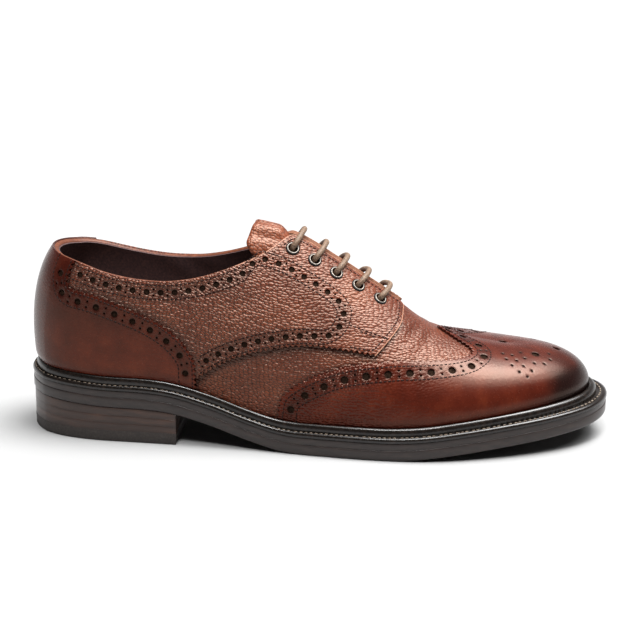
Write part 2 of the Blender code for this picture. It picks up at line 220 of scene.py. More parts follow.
# Soft creases of wear: middle of each trough, its lean from the sole's direction in degrees, and its sizes
CREASES = table(
    "x up lean length width depth",
    (72.0, 50.0, -24.0, 24.0, 4.5, 0.6),
    (90.0, 57.0, 12.0, 20.0, 4.0, 0.45),
    (118.0, 58.0, 32.0, 26.0, 5.0, 0.5),
    (150.0, 60.0, -38.0, 26.0, 5.5, 0.5),
    (203.0, 56.0, 62.0, 22.0, 2.6, 0.4),
    (210.0, 52.0, 66.0, 24.0, 2.8, 0.45),
    (128.0, 17.0, 18.0, 26.0, 5.0, 0.5),
)

# How far each leather's face stands off the last, how thick it is and how far it goes under its neighbour
WALL = 1.8
PANEL = 1.5
WING_LIFT = 1.5
QUARTER_LIFT = 2.0
QUARTER_WALL = 1.8
QUARTER_REAR = 14.0
COUNTER_LIFT = 2.8
COUNTER_WALL = 1.4
COUNTER_LAP = 3.0
COUNTER_LAP_FRONT = 2.5
TUCK = 8.0
TUCKED_LIFT = 0.1

# The vamp's shell: its throat's rounded end and its columns and rows of points; then the roll at the collar
THROAT_ROUND = 7.0
VAMP_COLUMNS = 680
VAMP_ROWS = 100
LINING_ROWS = 30
ROLL_FRONT = 134.0
ROLL_SIDES = 14

# Brogue work: distances from a pinked edge, then the punches, the teeth and the stitches
FIRST_STITCH = 1.9
PUNCH_ROW = 5.6
SECOND_STITCH = 9.0
BORDER = (FIRST_STITCH, PUNCH_ROW, SECOND_STITCH)
WING_PUNCH = 1.9
WING_PUNCH_PITCH = 11.0
COUNTER_PUNCH = 1.65
COUNTER_PUNCH_PITCH = 10.0
QUARTER_PUNCH = 1.55
QUARTER_PUNCH_PITCH = 7.2
PUNCH_SIDES = 16
PINHOLE = 0.55
PINHOLE_ASIDE = 1.5
PINHOLE_SIDES = 8
HOLE_SHADE_DEPTH = 0.95
PINKING_PITCH = 2.8
PINKING_DEPTH = 1.5
PINKING_CUTS = 8
STITCH_PITCH = 2.2
STITCH_LENGTH = 1.9
STITCH_RADIUS = 0.37
STITCH_SHOULDER = 0.34
STITCH_SINK = 0.04
FACING_STITCH = 2.5
# The bar of stitches across the facing's foot, doubled over its middle
BAR_STITCHES = table("first last down", (170.5, 191.0, 59.52), (176.0, 184.0, 60.82))
BAR_SLOPE = 0.14
# Painted shade under a lapping panel edge, with dark polish gathered there, along the foot of a seam
SEAM_SHADE = 0.9
SEAM_WIDTH = 1.5

# Toe medallion: its end punches, its side punches, and the rows of pinholes about each side punch
MEDALLION_ENDS = (249.0, 277.0)
MEDALLION_MIDDLE = 265.5
MEDALLION_SIDE = 13.8
MEDALLION_PINHOLE = 0.65
MEDALLION_PINHOLE_SIDES = 9
MEDALLION_ROWS = table(
    "radius count first step",
    (7.8, 6, 184.0, 40.0),
    (13.0, 4, 200.0, 20.0),
    (17.5, 5, 194.0, 15.5),
)

# Laying cut leather: spacing of its points, how far they keep apart, and its softened edge
POINT_GAP = 1.9
LEATHER_RISE = 95.0
CLEAR_OF_EDGE = 0.22
CLEAR_OF_POINT = 0.25
EDGE_SHOULDER = 0.45
PUNCH_SHOULDER = 0.35
EDGE_DROP = 0.14
# Painted shade with dark edge dye: round each punch, and on the walls of the cut edges
PUNCH_SHADE = 0.75
PUNCH_SHADE_WIDTH = 0.9
EDGE_WALL_SHADE = 0.8
BARE_SHARE = 0.72
FLAT_SPREAD = 1.6

# Eyelets along each facing, and the profiles that they are turned to
EYELETS = 5
EYELET_FIRST = 140.5
EYELET_STEP = 11.0
EYELET_OFFSET = 12.0
EYELET_RIM = 0.7
EYELET_BORE = 2.35
EYELET_SIDES = 28
EYELET_FLANGE = table(
    "radius up",
    (3.7, -0.3),
    (3.7, 0.15),
    (3.5, 0.42),
    (3.2, 0.55),
    (2.9, 0.5),
    (2.7, 0.3),
    (2.6, 0.0),
    (2.5, -1.6),
)
EYELET_LIP = table(
    "radius up",
    (3.12, 0.4),
    (3.06, 0.62),
    (2.88, 0.74),
    (2.68, 0.72),
    (2.52, 0.56),
    (2.44, 0.2),
    (2.4, -1.2),
)

# Lace bars: how far each one leans, reaches and arches between its eyelets, and how it drops into them
LACE_RADIUS = 1.45
LACE_LEAN = 2.5
LACE_REACH = 11.5
LACE_ARCH = 0.5
LACE_CLEAR = 0.1
LACE_DIP = 1.3
LACE_DIP_FROM = 0.84
LACE_DROP = (0.4, -1.6)
LACE_SIDES = 14

# Tongue: its ends, its half width, how far it lies below the last, and the folds across it
TONGUE_FRONT = 194.0
TONGUE_TOP = 117.0
TONGUE_HALF = table("x half", (117.0, 22.0), (128.0, 21.0), (150.0, 16.5), (194.0, 12.0))
TONGUE_DEPTH = 3.6
TONGUE_WALL = 1.8
TONGUE_RISE = 6.5
TONGUE_FLARE = 150.0
TONGUE_FOLDS = table(
    "middle width depth",
    (-0.55, 0.12, 0.9),
    (-0.1, 0.14, 1.1),
    (0.35, 0.12, 0.9),
    (0.75, 0.1, 0.6),
)

# Welt: the bead's width, the shelf's stitches and where they lie on it
BEAD = 3.2
BEAD_SPREAD = 0.42
WELT_STITCH_PITCH = 2.7
WELT_STITCH_LENGTH = 2.0
WELT_STITCH_RADIUS = 0.55
WELT_STITCH_SHOULDER = 0.36
WELT_STITCH_OUT = 0.42
WELT_STITCH_UP = 2.35

# Camera, as the photograph was taken: angles in degrees, distance and aim in millimetres
CAMERA_AZIMUTH = 4.48
CAMERA_ELEVATION = 15.67
CAMERA_ROLL = 0.33
CAMERA_DISTANCE = 903.0
CAMERA_AIM = (152.8, 0.0, 58.3)
CAMERA_LENS = 96.4

# Lamps: how wide each one looks in degrees, its strength, and the way its light goes
SOFTBOXES = (
    ("overhead_softbox", 60, 4.4, (-0.3, -0.05, -0.95)),
    ("key_softbox", 30, 4.0, (-0.3, -0.05, -0.95)),
    ("front_softbox", 14, 2.0, (0.05, 0.45, -0.88)),
)


def smooth(rows, key, value, at="x"):
    """A column of the table at values of another column, on a smooth curve through the rows."""
    xs, ys = rows[at], rows[key]
    slopes = np.gradient(ys, xs)
    value = np.clip(value, xs[0], xs[-1])
    i = np.clip(np.searchsorted(xs, value) - 1, 0, len(xs) - 2)
    span = xs[i + 1] - xs[i]
    t = (value - xs[i]) / span
    rise = ys[i + 1] - ys[i]
    bend = (1 - t) * (slopes[i] * span - rise) + t * (rise - slopes[i + 1] * span)
    return ys[i] + t * rise + t * (1 - t) * bend


def ease(value):
    value = np.clip(value, 0.0, 1.0)
    return value * value * (3 - 2 * value)


def station_of(x):
    share = np.clip((np.asarray(x) - FEATHER_REAR) / (FEATHER_TOE - FEATHER_REAR), 0.0, 1.0)
    return np.arccos(1 - 2 * share) / np.pi


def x_of(station):
    return FEATHER_REAR + (FEATHER_TOE - FEATHER_REAR) * (1 - np.cos(np.pi * station)) / 2


def underside(x):
    return np.maximum(0.0, smooth(SOLE_UNDERSIDE, "z", x))


def fold(loop):
    """The loop coordinate runs 0 to 1 along the outer side and 1 to 2 back along the inner side."""
    loop = np.mod(loop, 2.0)
    return np.where(loop <= 1.0, loop, 2.0 - loop), np.where(loop <= 1.0, -1.0, 1.0)


FEATHER_ROUNDNESS = table(
    "station half",
    *[(station_of(row["x"]), row["half"] / math.sin(math.pi * station_of(row["x"]))) for row in FEATHER],
)


def feather(loop):
    station, side = fold(loop)
    x = x_of(station)
    half = smooth(FEATHER_ROUNDNESS, "half", station, at="station") * np.sin(np.pi * station)
    return np.stack([x, smooth(FEATHER, "axis", x) + side * half], axis=-1)


def outward(loop):
    step = 0.004
    along = feather(loop + step) - feather(loop - step)
    along /= np.linalg.norm(along, axis=-1, keepdims=True)
    return np.stack([along[..., 1], -along[..., 0]], axis=-1)


def sole_edge(loop, inset=0.0):
    point = feather(loop)
    return point + outward(loop) * (smooth(SOLE_EDGE, "out", point[..., 0]) - inset)[..., None]


def fan(station):
    """How far a section's top stands behind its foot at the toe, or ahead of it at the heel."""
    toe = ease((station - FAN_FROM) / (1 - FAN_FROM))
    heel = ease((1 - FAN_FROM - station) / (1 - FAN_FROM))
    return HEEL_SETBACK * heel - TOE_SETBACK * toe


# The last is worked out at these loops and shares, and its slopes over these steps
LOOPS = np.linspace(0.0, 2.0, 961)
SHARES = np.linspace(0.0, 1.0, 161)
LOOP_STEP = 0.003
SHARE_STEP = 0.01
TOE_TOP = 60


def shape_last():
    """Points and normals of the last over loop and share, with the length of each section."""
    station, _ = fold(LOOPS)
    foot = feather(LOOPS)
    x = foot[:, 0]
    out = np.column_stack([outward(LOOPS), np.zeros(len(LOOPS))])
    top_x = x_of(station) + fan(station)
    start = np.column_stack([foot, underside(x) + UPPER_BASE])
    end = np.column_stack([top_x, smooth(FEATHER, "axis", top_x), smooth(TOP_LINE, "z", top_x)])
    reach = np.linalg.norm(foot - end[:, :2], axis=1)
    wall = start + out * smooth(SECTIONS, "bulge", x)[:, None]
    wall[:, 2] += (end - start)[:, 2] * smooth(SECTIONS, "wall", x)
    crown = end + out * (reach * smooth(SECTIONS, "crown", x))[:, None]
    t = np.linspace(0, 1, 97)[None, :, None]
    start, wall, crown, end = (corner[:, None, :] for corner in (start, wall, crown, end))
    curves = start * (1 - t) ** 3 + 3 * wall * t * (1 - t) ** 2 + 3 * crown * t * t * (1 - t) + end * t**3
    steps = np.linalg.norm(np.diff(curves, axis=1), axis=2)
    lengths = np.pad(np.cumsum(steps, axis=1), ((0, 0), (1, 0)))
    points = np.empty((len(LOOPS), len(SHARES), 3))
    for i, (curve, length) in enumerate(zip(curves, lengths)):
        for k in range(3):
            points[i, :, k] = np.interp(SHARES * length[-1], length, curve[:, k])
    around = np.roll(points[:-1], -1, axis=0) - np.roll(points[:-1], 1, axis=0)
    around = np.concatenate([around, around[:1]])
    normals = np.cross(around, np.gradient(points, axis=1))
    normals[:, -1] = normals[:, -2] + normals[::-1, -2]
    normals /= np.linalg.norm(normals, axis=2, keepdims=True)
    return points, normals, lengths[:, -1]


POINTS, NORMALS, LENGTHS = shape_last()
GIRTH = np.append(0.0, np.cumsum(np.linalg.norm(np.diff(POINTS[:, len(SHARES) // 4, :2], axis=0), axis=1)))


def creased():
    """How far each point of the last sinks into a soft trough or stands on the ridge beside it."""
    station, _ = fold(LOOPS)
    up = SHARES[None, :] * LENGTHS[:, None]
    sunk = np.zeros_like(up)
    for row in CREASES:
        middle = np.interp(station_of(row["x"]), LOOPS, GIRTH)
        ahead = np.interp(station, LOOPS, GIRTH)[:, None] - middle
        rise = up - row["up"]
        lean = math.radians(row["lean"])
        along = (ahead * math.cos(lean) + rise * math.sin(lean)) / row["length"] * 2
        across = (rise * math.cos(lean) - ahead * math.sin(lean)) / row["width"]
        trough = np.exp(-(across**2)) - 0.55 * np.exp(-((across - 1.7) ** 2))
        sunk -= row["depth"] * trough * np.exp(-(along**2))
    return sunk


POINTS += NORMALS * creased()[..., None]
SOLE_RIM = sole_edge(LOOPS)
CENTRE = np.append((SOLE_RIM.min(axis=0) + SOLE_RIM.max(axis=0)) / 2, 0.0)


def settle(place):
    """A place past the top line is a place on the other side."""
    place = np.asarray(place, float)
    over = place[..., 1] > 1.0
    loop = np.where(over, 2.0 - place[..., 0], place[..., 0])
    share = np.where(over, 2.0 - place[..., 1], place[..., 1])
    return np.stack([np.mod(loop, 2.0), np.clip(share, 0.0, 1.0)], axis=-1)


def read(grid, place):
    place = settle(place)
    across, up = place[..., 0] / LOOPS[1], place[..., 1] / SHARES[1]
    i = np.minimum(across.astype(int), len(LOOPS) - 2)
    j = np.minimum(up.astype(int), len(SHARES) - 2)
    across, up = (across - i)[..., None], (up - j)[..., None]
    low = grid[i, j] * (1 - across) + grid[i + 1, j] * across
    high = grid[i, j + 1] * (1 - across) + grid[i + 1, j + 1] * across
    return low * (1 - up) + high * up


def normal_at(place):
    found = read(NORMALS, place)
    return found / np.linalg.norm(found, axis=-1, keepdims=True)


def on_last(place, lift=0.0):
    return read(POINTS, place) + normal_at(place) * np.asarray(lift)[..., None]


def length_at(loop):
    return np.interp(np.mod(loop, 2.0), LOOPS, LENGTHS)


def walk(place, step):
    """Moves places on the last by short steps given in space."""
    ahead, up = np.array([LOOP_STEP, 0.0]), np.array([0.0, SHARE_STEP])
    inner = np.stack([place[..., 0], np.clip(place[..., 1], SHARE_STEP, 1.0 - 2 * SHARE_STEP)], axis=-1)
    along = (read(POINTS, inner + ahead) - read(POINTS, inner - ahead)) / (2 * LOOP_STEP)
    across = (read(POINTS, inner + up) - read(POINTS, inner - up)) / (2 * SHARE_STEP)
    a, b, c = ((u * v).sum(-1) for u, v in ((along, along), (along, across), (across, across)))
    p, q = (along * step).sum(-1), (across * step).sum(-1)
    spread = a * c - b * b
    return place + np.stack([(c * p - b * q) / spread, (a * q - b * p) / spread], axis=-1)


def evened(line, gap):
    """The line of places cut into equal steps along the surface."""
    line = np.asarray(line, float)
    steps = np.linalg.norm(np.diff(read(POINTS, line), axis=0), axis=1)
    run = np.append(0.0, np.cumsum(steps))
    count = max(int(round(run[-1] / gap)), 1)
    at = np.linspace(0.0, run[-1], count + 1)
    return np.column_stack([np.interp(at, run, line[:, k]) for k in range(2)])


def directions(line):
    """Along the line, and square to it on its left as seen from outside."""
    along = np.gradient(on_last(line), axis=0)
    along /= np.linalg.norm(along, axis=1, keepdims=True)
    left = np.cross(normal_at(line), along)
    return along, left


def inset(line, distance):
    """The line moved to its left over the surface."""
    line = np.asarray(line, float)
    steps = max(int(abs(distance) / 2.0), 1)
    for _ in range(steps):
        _, left = directions(line)
        line = walk(line, left * distance / steps)
    return line


def pinked(line):
    """The line cut with small even teeth, as pinking shears leave it."""
    line = evened(line, PINKING_PITCH / PINKING_CUTS)
    _, left = directions(line)
    teeth = np.abs((np.arange(len(line)) / PINKING_CUTS + 0.5) % 1.0 - 0.5) * 2 * PINKING_DEPTH
    return walk(line, left * teeth[:, None])


def rounded(line, passes):
    """The line with its corners eased."""
    line = np.array(line)
    for _ in range(passes):
        line[1:-1] = line[1:-1] / 2 + (line[:-2] + line[2:]) / 4
    return line


def ring(place, radius, count):
    """A circle of places round one place."""
    place = np.asarray(place, float)
    facing = normal_at(place)
    side = np.cross(facing, [0.0, 0.0, 1.0] if abs(facing[2]) < 0.9 else [1.0, 0.0, 0.0])
    side /= np.linalg.norm(side)
    ahead = np.cross(facing, side)
    angle = np.linspace(0, 2 * np.pi, count, endpoint=False)[:, None]
    steps = radius * (np.cos(angle) * side + np.sin(angle) * ahead)
    return walk(np.repeat(place[None], count, axis=0), steps)


def mirrored(line):
    """The same line on the inner side."""
    return np.asarray(line) * [-1.0, 1.0] + [2.0, 0.0]


def share_at_height(loop, z):
    i = np.clip(np.round(np.mod(loop, 2.0) / LOOPS[1]).astype(int), 0, len(LOOPS) - 1)
    return np.array([np.interp(level, POINTS[k, :, 2], SHARES) for k, level in zip(i, z)])


def share_above_feather(loop, up):
    return share_at_height(loop, read(POINTS, np.column_stack([loop, np.zeros_like(loop)]))[:, 2] + up)


def collar_share(loop, throat_half):
    """Upper end of the quarters: the collar, or the throat's edge at this distance from its centre line."""
    x = x_of(fold(loop)[0])
    edge = 1.0 - throat_half / length_at(loop)
    collar = share_at_height(loop, smooth(COLLAR, "z", x))
    return np.where(x >= COLLAR["x"][-1], edge, np.minimum(edge, collar))


def by_height(rows):
    """Places along a panel's edge given by its height above the feather line."""
    x = np.linspace(rows["x"][0], rows["x"][-1], 80)
    loop = station_of(x)
    return np.column_stack([loop, share_above_feather(loop, smooth(rows, "up", x))])


def flat(place):
    """Where a place lies with the upper opened out flat in plan, the top line kept along its middle."""
    place = settle(place)
    foot = np.stack([np.interp(place[..., 0], LOOPS, POINTS[:, 0, k]) for k in range(2)], axis=-1)
    top = np.stack([np.interp(place[..., 0], LOOPS, POINTS[:, -1, k]) for k in range(2)], axis=-1)
    return top + (foot - top) * (1.0 - place[..., 1:]) * FLAT_SPREAD


def turned(rim, left):
    """The rim as flat points, running anticlockwise when left is true."""
    spot = flat(rim)
    ahead = np.roll(spot, -1, axis=0)
    area = (spot[:, 0] * ahead[:, 1] - spot[:, 1] * ahead[:, 0]).sum()
    return rim if (area > 0) == left else rim[::-1]


def inside(spots, rims):
    """Which flat spots lie on the leather, inside the outline and in no hole."""
    found = np.zeros(len(spots), bool)
    x, y = spots.T
    for rim in rims:
        for (x0, y0), (x1, y1) in zip(rim, np.roll(rim, -1, axis=0)):
            if y0 == y1:
                continue
            crossing = ((y0 > y) != (y1 > y)) & (x < (x1 - x0) * (y - y0) / (y1 - y0) + x0)
            found ^= crossing
    return found


def finder(spots):
    """Finds the nearest of these flat spots."""
    tree = KDTree(len(spots))
    for k, spot in enumerate(spots):
        tree.insert((*spot, 0.0), k)
    tree.balance()
    return tree


def texture_spots(place):
    """Millimetres along and up the leather, for its grain."""
    place = settle(place)
    along = np.interp(place[..., 0], LOOPS, GIRTH)
    return np.stack([along, place[..., 1] * length_at(place[..., 0])], axis=-1)


def piece(name, points, faces, surface, solids=(), spots=None, burnish_and_shade=None, sharp=50):
    """A finished mesh on the shoe, in the shared frame, standing for the solids it replaces."""
    mesh = bpy.data.meshes.new(name)
    mesh.from_pydata(((np.asarray(points) - CENTRE) * MM).tolist(), [], faces)
    mesh.polygons.foreach_set("use_smooth", [True] * len(mesh.polygons))
    mesh.set_sharp_from_angle(angle=math.radians(sharp))
    corners = np.empty(len(mesh.loops), int)
    mesh.loops.foreach_get("vertex_index", corners)
    if spots is not None:
        layer = mesh.uv_layers.new(name="millimetres")
        layer.data.foreach_set("uv", np.asarray(spots)[corners].ravel())
    # The leather's darkening: real burnish, together with painted shade at seams, punches and cut edges
    shade = mesh.attributes.new("burnish_and_shade", "FLOAT", "POINT")
    shade.data.foreach_set("value", np.zeros(len(points)) if burnish_and_shade is None else burnish_and_shade)
    mesh.materials.append(surface)
    obj = bpy.data.objects.new(name, mesh)
    bpy.context.scene.collection.objects.link(obj)
    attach(obj, "root")
    if solids:
        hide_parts(*solids)
    return obj


def grid_faces(rows, columns, wrap=False):
    """Faces of a grid of points stored row by row, facing left of the rows."""
    faces = []
    for i in range(rows - 1):
        for j in range(columns if wrap else columns - 1):
            k = (j + 1) % columns
            faces.append([i * columns + j, i * columns + k, (i + 1) * columns + k, (i + 1) * columns + j])
    return faces


def spread_over(rims, edges):
    """Places over a cut leather inside its rims, clear of its edges and of each other."""
    spots = [flat(rim) for rim in rims]
    edge = np.concatenate(rims)
    around = np.interp(np.mod(edge[:, 0], 2), LOOPS, GIRTH)
    loops = np.linspace(edge[:, 0].min(), edge[:, 0].max(), int(np.ptp(around) / POINT_GAP))
    shares = np.linspace(edge[:, 1].min(), 1.0, int(LEATHER_RISE / POINT_GAP))
    half_step = (loops[1] - loops[0]) / 2
    filling = [(loop + (k % 2) * half_step, share) for k, share in enumerate(shares) for loop in loops]
    filling = np.array(filling)
    shoulders = [inset(rims[0], EDGE_SHOULDER)] + [inset(rim, PUNCH_SHOULDER) for rim in rims[1:]]
    filling = np.concatenate([*shoulders, filling[inside(flat(filling), spots)]])
    away = np.array([edges.find((*spot, 0.0))[2] for spot in flat(filling)])
    filling = filling[(away > CLEAR_OF_EDGE) & inside(flat(filling), spots)]
    laid = flat(filling)
    crowd = finder(laid)
    keep = []
    for k, spot in enumerate(laid):
        close = crowd.find_range((*spot, 0.0), CLEAR_OF_POINT)
        keep.append(min(hit[1] for hit in close) == k)
    return filling[keep]


def cut_leather(
    node, outline, holes, lift, thickness, leather, polish=None, cut_edge=None, seams=None
):
    """Leather cut to its outline and punched, laid on the last with soft edges.

    The lift gives its face's height off the last, and the polish how darkly its points are burnished.
    Painted shade with dark edge dye darkens the rims of its punches and its walls, and painted shade with
    dark polish darkens the foot of the seams it is given.
    """
    rims = [turned(outline, True)] + [turned(hole, False) for hole in holes]
    spots = [flat(rim) for rim in rims]
    edge = np.concatenate(rims)
    edges = finder(np.concatenate(spots))
    place = np.concatenate([edge, spread_over(rims, edges)])
    sides = []
    start = 0
    for rim in rims:
        sides += [(start + k, start + (k + 1) % len(rim)) for k in range(len(rim))]
        start += len(rim)
    made = delaunay_2d_cdt([Vector(spot) for spot in flat(place)], sides, [], 0, 1e-5)
    source = np.array([origin[0] if origin else -1 for origin in made[3]])
    faces = source[np.array(made[2])]
    faces = faces[faces.min(axis=1) >= 0]
    faces = faces[inside(flat(place)[faces].mean(axis=1), spots)].tolist()
    height = lift(place)
    height[: len(edge)] -= EDGE_DROP
    points = on_last(place, height)
    under = on_last(edge, np.maximum(height[: len(edge)] - thickness, 0.05))
    faces += [[len(place) + a, len(place) + b, b, a] for a, b in sides]

    nearest = np.array([edges.find((*spot, 0.0))[1:] for spot in flat(place)])
    # Painted shade with dark edge dye round the punches' rims
    at_punch = np.where(nearest[:, 0] < len(outline), 0.0, PUNCH_SHADE)
    burnish_and_shade = at_punch * np.exp(-nearest[:, 1] / PUNCH_SHADE_WIDTH)
    # Painted shade, with dark polish, along the foot of the seams beside this piece
    if seams:
        burnish_and_shade = np.maximum(burnish_and_shade, seam_shade_and_dye(place, seams))
    if polish:
        burnish_and_shade = np.maximum(burnish_and_shade, polish(points))
    if cut_edge:
        bare = (x_of(fold(place[:, 0])[0]) > QUARTER_CORNER) | (settle(place)[:, 1] > BARE_SHARE)
        burnish_and_shade[bare] = 0.0
    # The cut edge's wall is darkened: painted shade with dark edge dye
    burnish_and_shade = np.concatenate([burnish_and_shade, np.full(len(edge), EDGE_WALL_SHADE)])
    grain = texture_spots(np.concatenate([place, edge]))
    points = np.concatenate([points, under])
    made = piece(f"{node}_leather", points, faces, leather, (node,), grain, burnish_and_shade)
    if cut_edge:
        made.data.materials.append(cut_edge)
        for face in made.data.polygons:
            face.material_index = int(any(v < len(outline) and bare[v] for v in face.vertices))


def spread_along(line, pitch, start=0.5):
    """Places at equal steps along a line from so many pitches on, with the directions there."""
    step = 0.25
    fine = evened(line, step)
    along, left = directions(fine)
    picks = np.arange(start * pitch, len(fine) * step, pitch) / step
    picks = picks[picks < len(fine) - 1].astype(int)
    return fine[picks], along[picks], left[picks]


def punch_row(line, radius, pitch):
    """Large punches along a line with a pair of pinholes between each two."""
    large, _, _ = spread_along(line, pitch)
    small, _, left = spread_along(line, pitch, 1.0)
    pairs = np.concatenate([walk(small, left * PINHOLE_ASIDE), walk(small, left * -PINHOLE_ASIDE)])
    holes = [ring(place, radius, PUNCH_SIDES) for place in large]
    return holes + [ring(place, PINHOLE, PINHOLE_SIDES) for place in pairs]


def sewn(stitches, length, radius, shoulder):
    """Points and faces of short rounded stitches, each given by its middle and its three directions."""
    points, faces = [], []
    for centre, ahead, aside, up in stitches:
        base = len(points)
        for reach, girth in ((-0.5, 0.0), (-shoulder, 0.8), (0.0, 1.0), (shoulder, 0.8), (0.5, 0.0)):
            for k in range(6):
                angle = math.pi * k / 3
                across = aside * math.cos(angle) + up * math.sin(angle)
                points.append(centre + ahead * reach * length + across * girth * radius)
        faces += [[base + v for v in face] for face in grid_faces(5, 6, True)]
    return np.array(points), faces


# The outlines and rows that follow are the outer side's, and the inner side mirrors them
def quarter_top(first_x):
    """The quarter's upper edge along the collar and the facing, from a station near the back."""
    loop = np.linspace(station_of(first_x), station_of(QUARTER_FRONT), 300)
    return np.column_stack([loop, collar_share(loop, FACING_GAP_HALF)])


def counter_edge():
    """The counter's upper edge from its front foot to the tab at the back."""
    front = station_of(COUNTER_FRONT)
    foot = np.column_stack([np.full(12, front), np.linspace(0.0, by_height(COUNTER_EDGE)[-1, 1], 12)])
    return rounded(evened(np.concatenate([foot, by_height(COUNTER_EDGE)[::-1]]), 1.0), 12)


def tab_edge():
    """The back tab's front edge, up to the collar."""
    loop = np.full(40, station_of(COUNTER_TAB))
    low = counter_edge()[-1, 1]
    return np.column_stack([loop, np.linspace(low, collar_share(loop, FACING_GAP_HALF)[0], 40)])


def quarter_lower():
    """The quarter's front edge, then its lower edge from the front corner back to the counter."""
    return by_height(QUARTER_FRONT_EDGE)[::-1], by_height(QUARTER_EDGE)[::-1]


def wing_edge():
    """The wing cap's rear edge from its foot to the top line."""
    share = np.linspace(0.0, 1.0, 160)
    loop = station_of(smooth(WING_EDGE, "x", share, at="share"))
    foot = PANEL_FOOT / length_at(loop)
    line = np.column_stack([loop, foot + (1 - foot) * share])
    return np.concatenate([[[loop[0], 0.0]], line])


def seam_finder(lines):
    """Finds the panels' edges on both sides, to darken the leather beside them with painted shade and dark
    polish.
    """
    lines = [evened(line, 0.6) for line in lines]
    return finder(flat(np.concatenate(lines + [mirrored(line) for line in lines])))


COUNTER_SEAM = seam_finder([counter_edge(), tab_edge()])
PANEL_SEAMS = seam_finder([wing_edge(), counter_edge(), *quarter_lower()])


def seam_shade_and_dye(place, seams):
    """A dark line along the foot of each seam: painted shade under the lapping edge, with dark polish
    gathered there.
    """
    spots = flat(place).reshape(-1, 2)
    away = np.array([seams.find((*spot, 0.0))[2] for spot in spots])
    return SEAM_SHADE * np.exp(-((away / SEAM_WIDTH) ** 2))


def tucked(full):
    """A lift that sinks to the last at the feather line, so that the leather goes behind the bead."""

    def lift(place):
        place = settle(place)
        return TUCKED_LIFT + (full - TUCKED_LIFT) * ease(place[..., 1] * length_at(place[..., 0]) / TUCK)

    return lift


def linear(code):
    """A sRGB hex colour as linear RGBA."""
    parts = [int(code[k : k + 2], 16) / 255 for k in (1, 3, 5)]
    return [c / 12.92 if c <= 0.04045 else ((c + 0.055) / 1.055) ** 2.4 for c in parts] + [1.0]


def add(tree, kind, inputs, stops=None, **settings):
    """One shader node with its settings, its inputs and, for a ramp, its colour stops."""
    node = tree.nodes.new("ShaderNode" + kind)
    for key, value in settings.items():
        setattr(node, key, value)
    for key, value in inputs.items():
        if isinstance(value, bpy.types.NodeSocket):
            tree.links.new(value, node.inputs[key])
        else:
            node.inputs[key].default_value = value
    for k, (position, code) in enumerate(stops or []):
        ramp = node.color_ramp.elements
        stop = ramp[k] if k < 2 else ramp.new(position)
        stop.position = position
        stop.color = linear(code)
    return node


def material(name):
    """A new material, its node tree and its own shader."""
    made = bpy.data.materials.new(name)
    made.use_nodes = True
    return made, made.node_tree, made.node_tree.nodes["Principled BSDF"]


def finish(tree, shader, colour, roughness, height, depth, **sockets):
    """Links a colour, a roughness and a relief of so many millimetres into the shader."""
    bump = add(tree, "Bump", {"Height": height, "Strength": 1.0, "Distance": depth * MM})
    tree.links.new(colour, shader.inputs["Base Color"])
    tree.links.new(bump.outputs["Normal"], shader.inputs["Normal"])
    if isinstance(roughness, bpy.types.NodeSocket):
        tree.links.new(roughness, shader.inputs["Roughness"])
    else:
        shader.inputs["Roughness"].default_value = roughness
    for key, value in sockets.items():
        shader.inputs[key.replace("_", " ")].default_value = value


# Pebbles of the grain: as pressed, and as the polishing leaves them
PEBBLE_LENGTH = 2.2
PEBBLE_WIDTH = 1.25
WORN_PEBBLE_LENGTH = 2.0
WORN_PEBBLE_WIDTH = 1.3


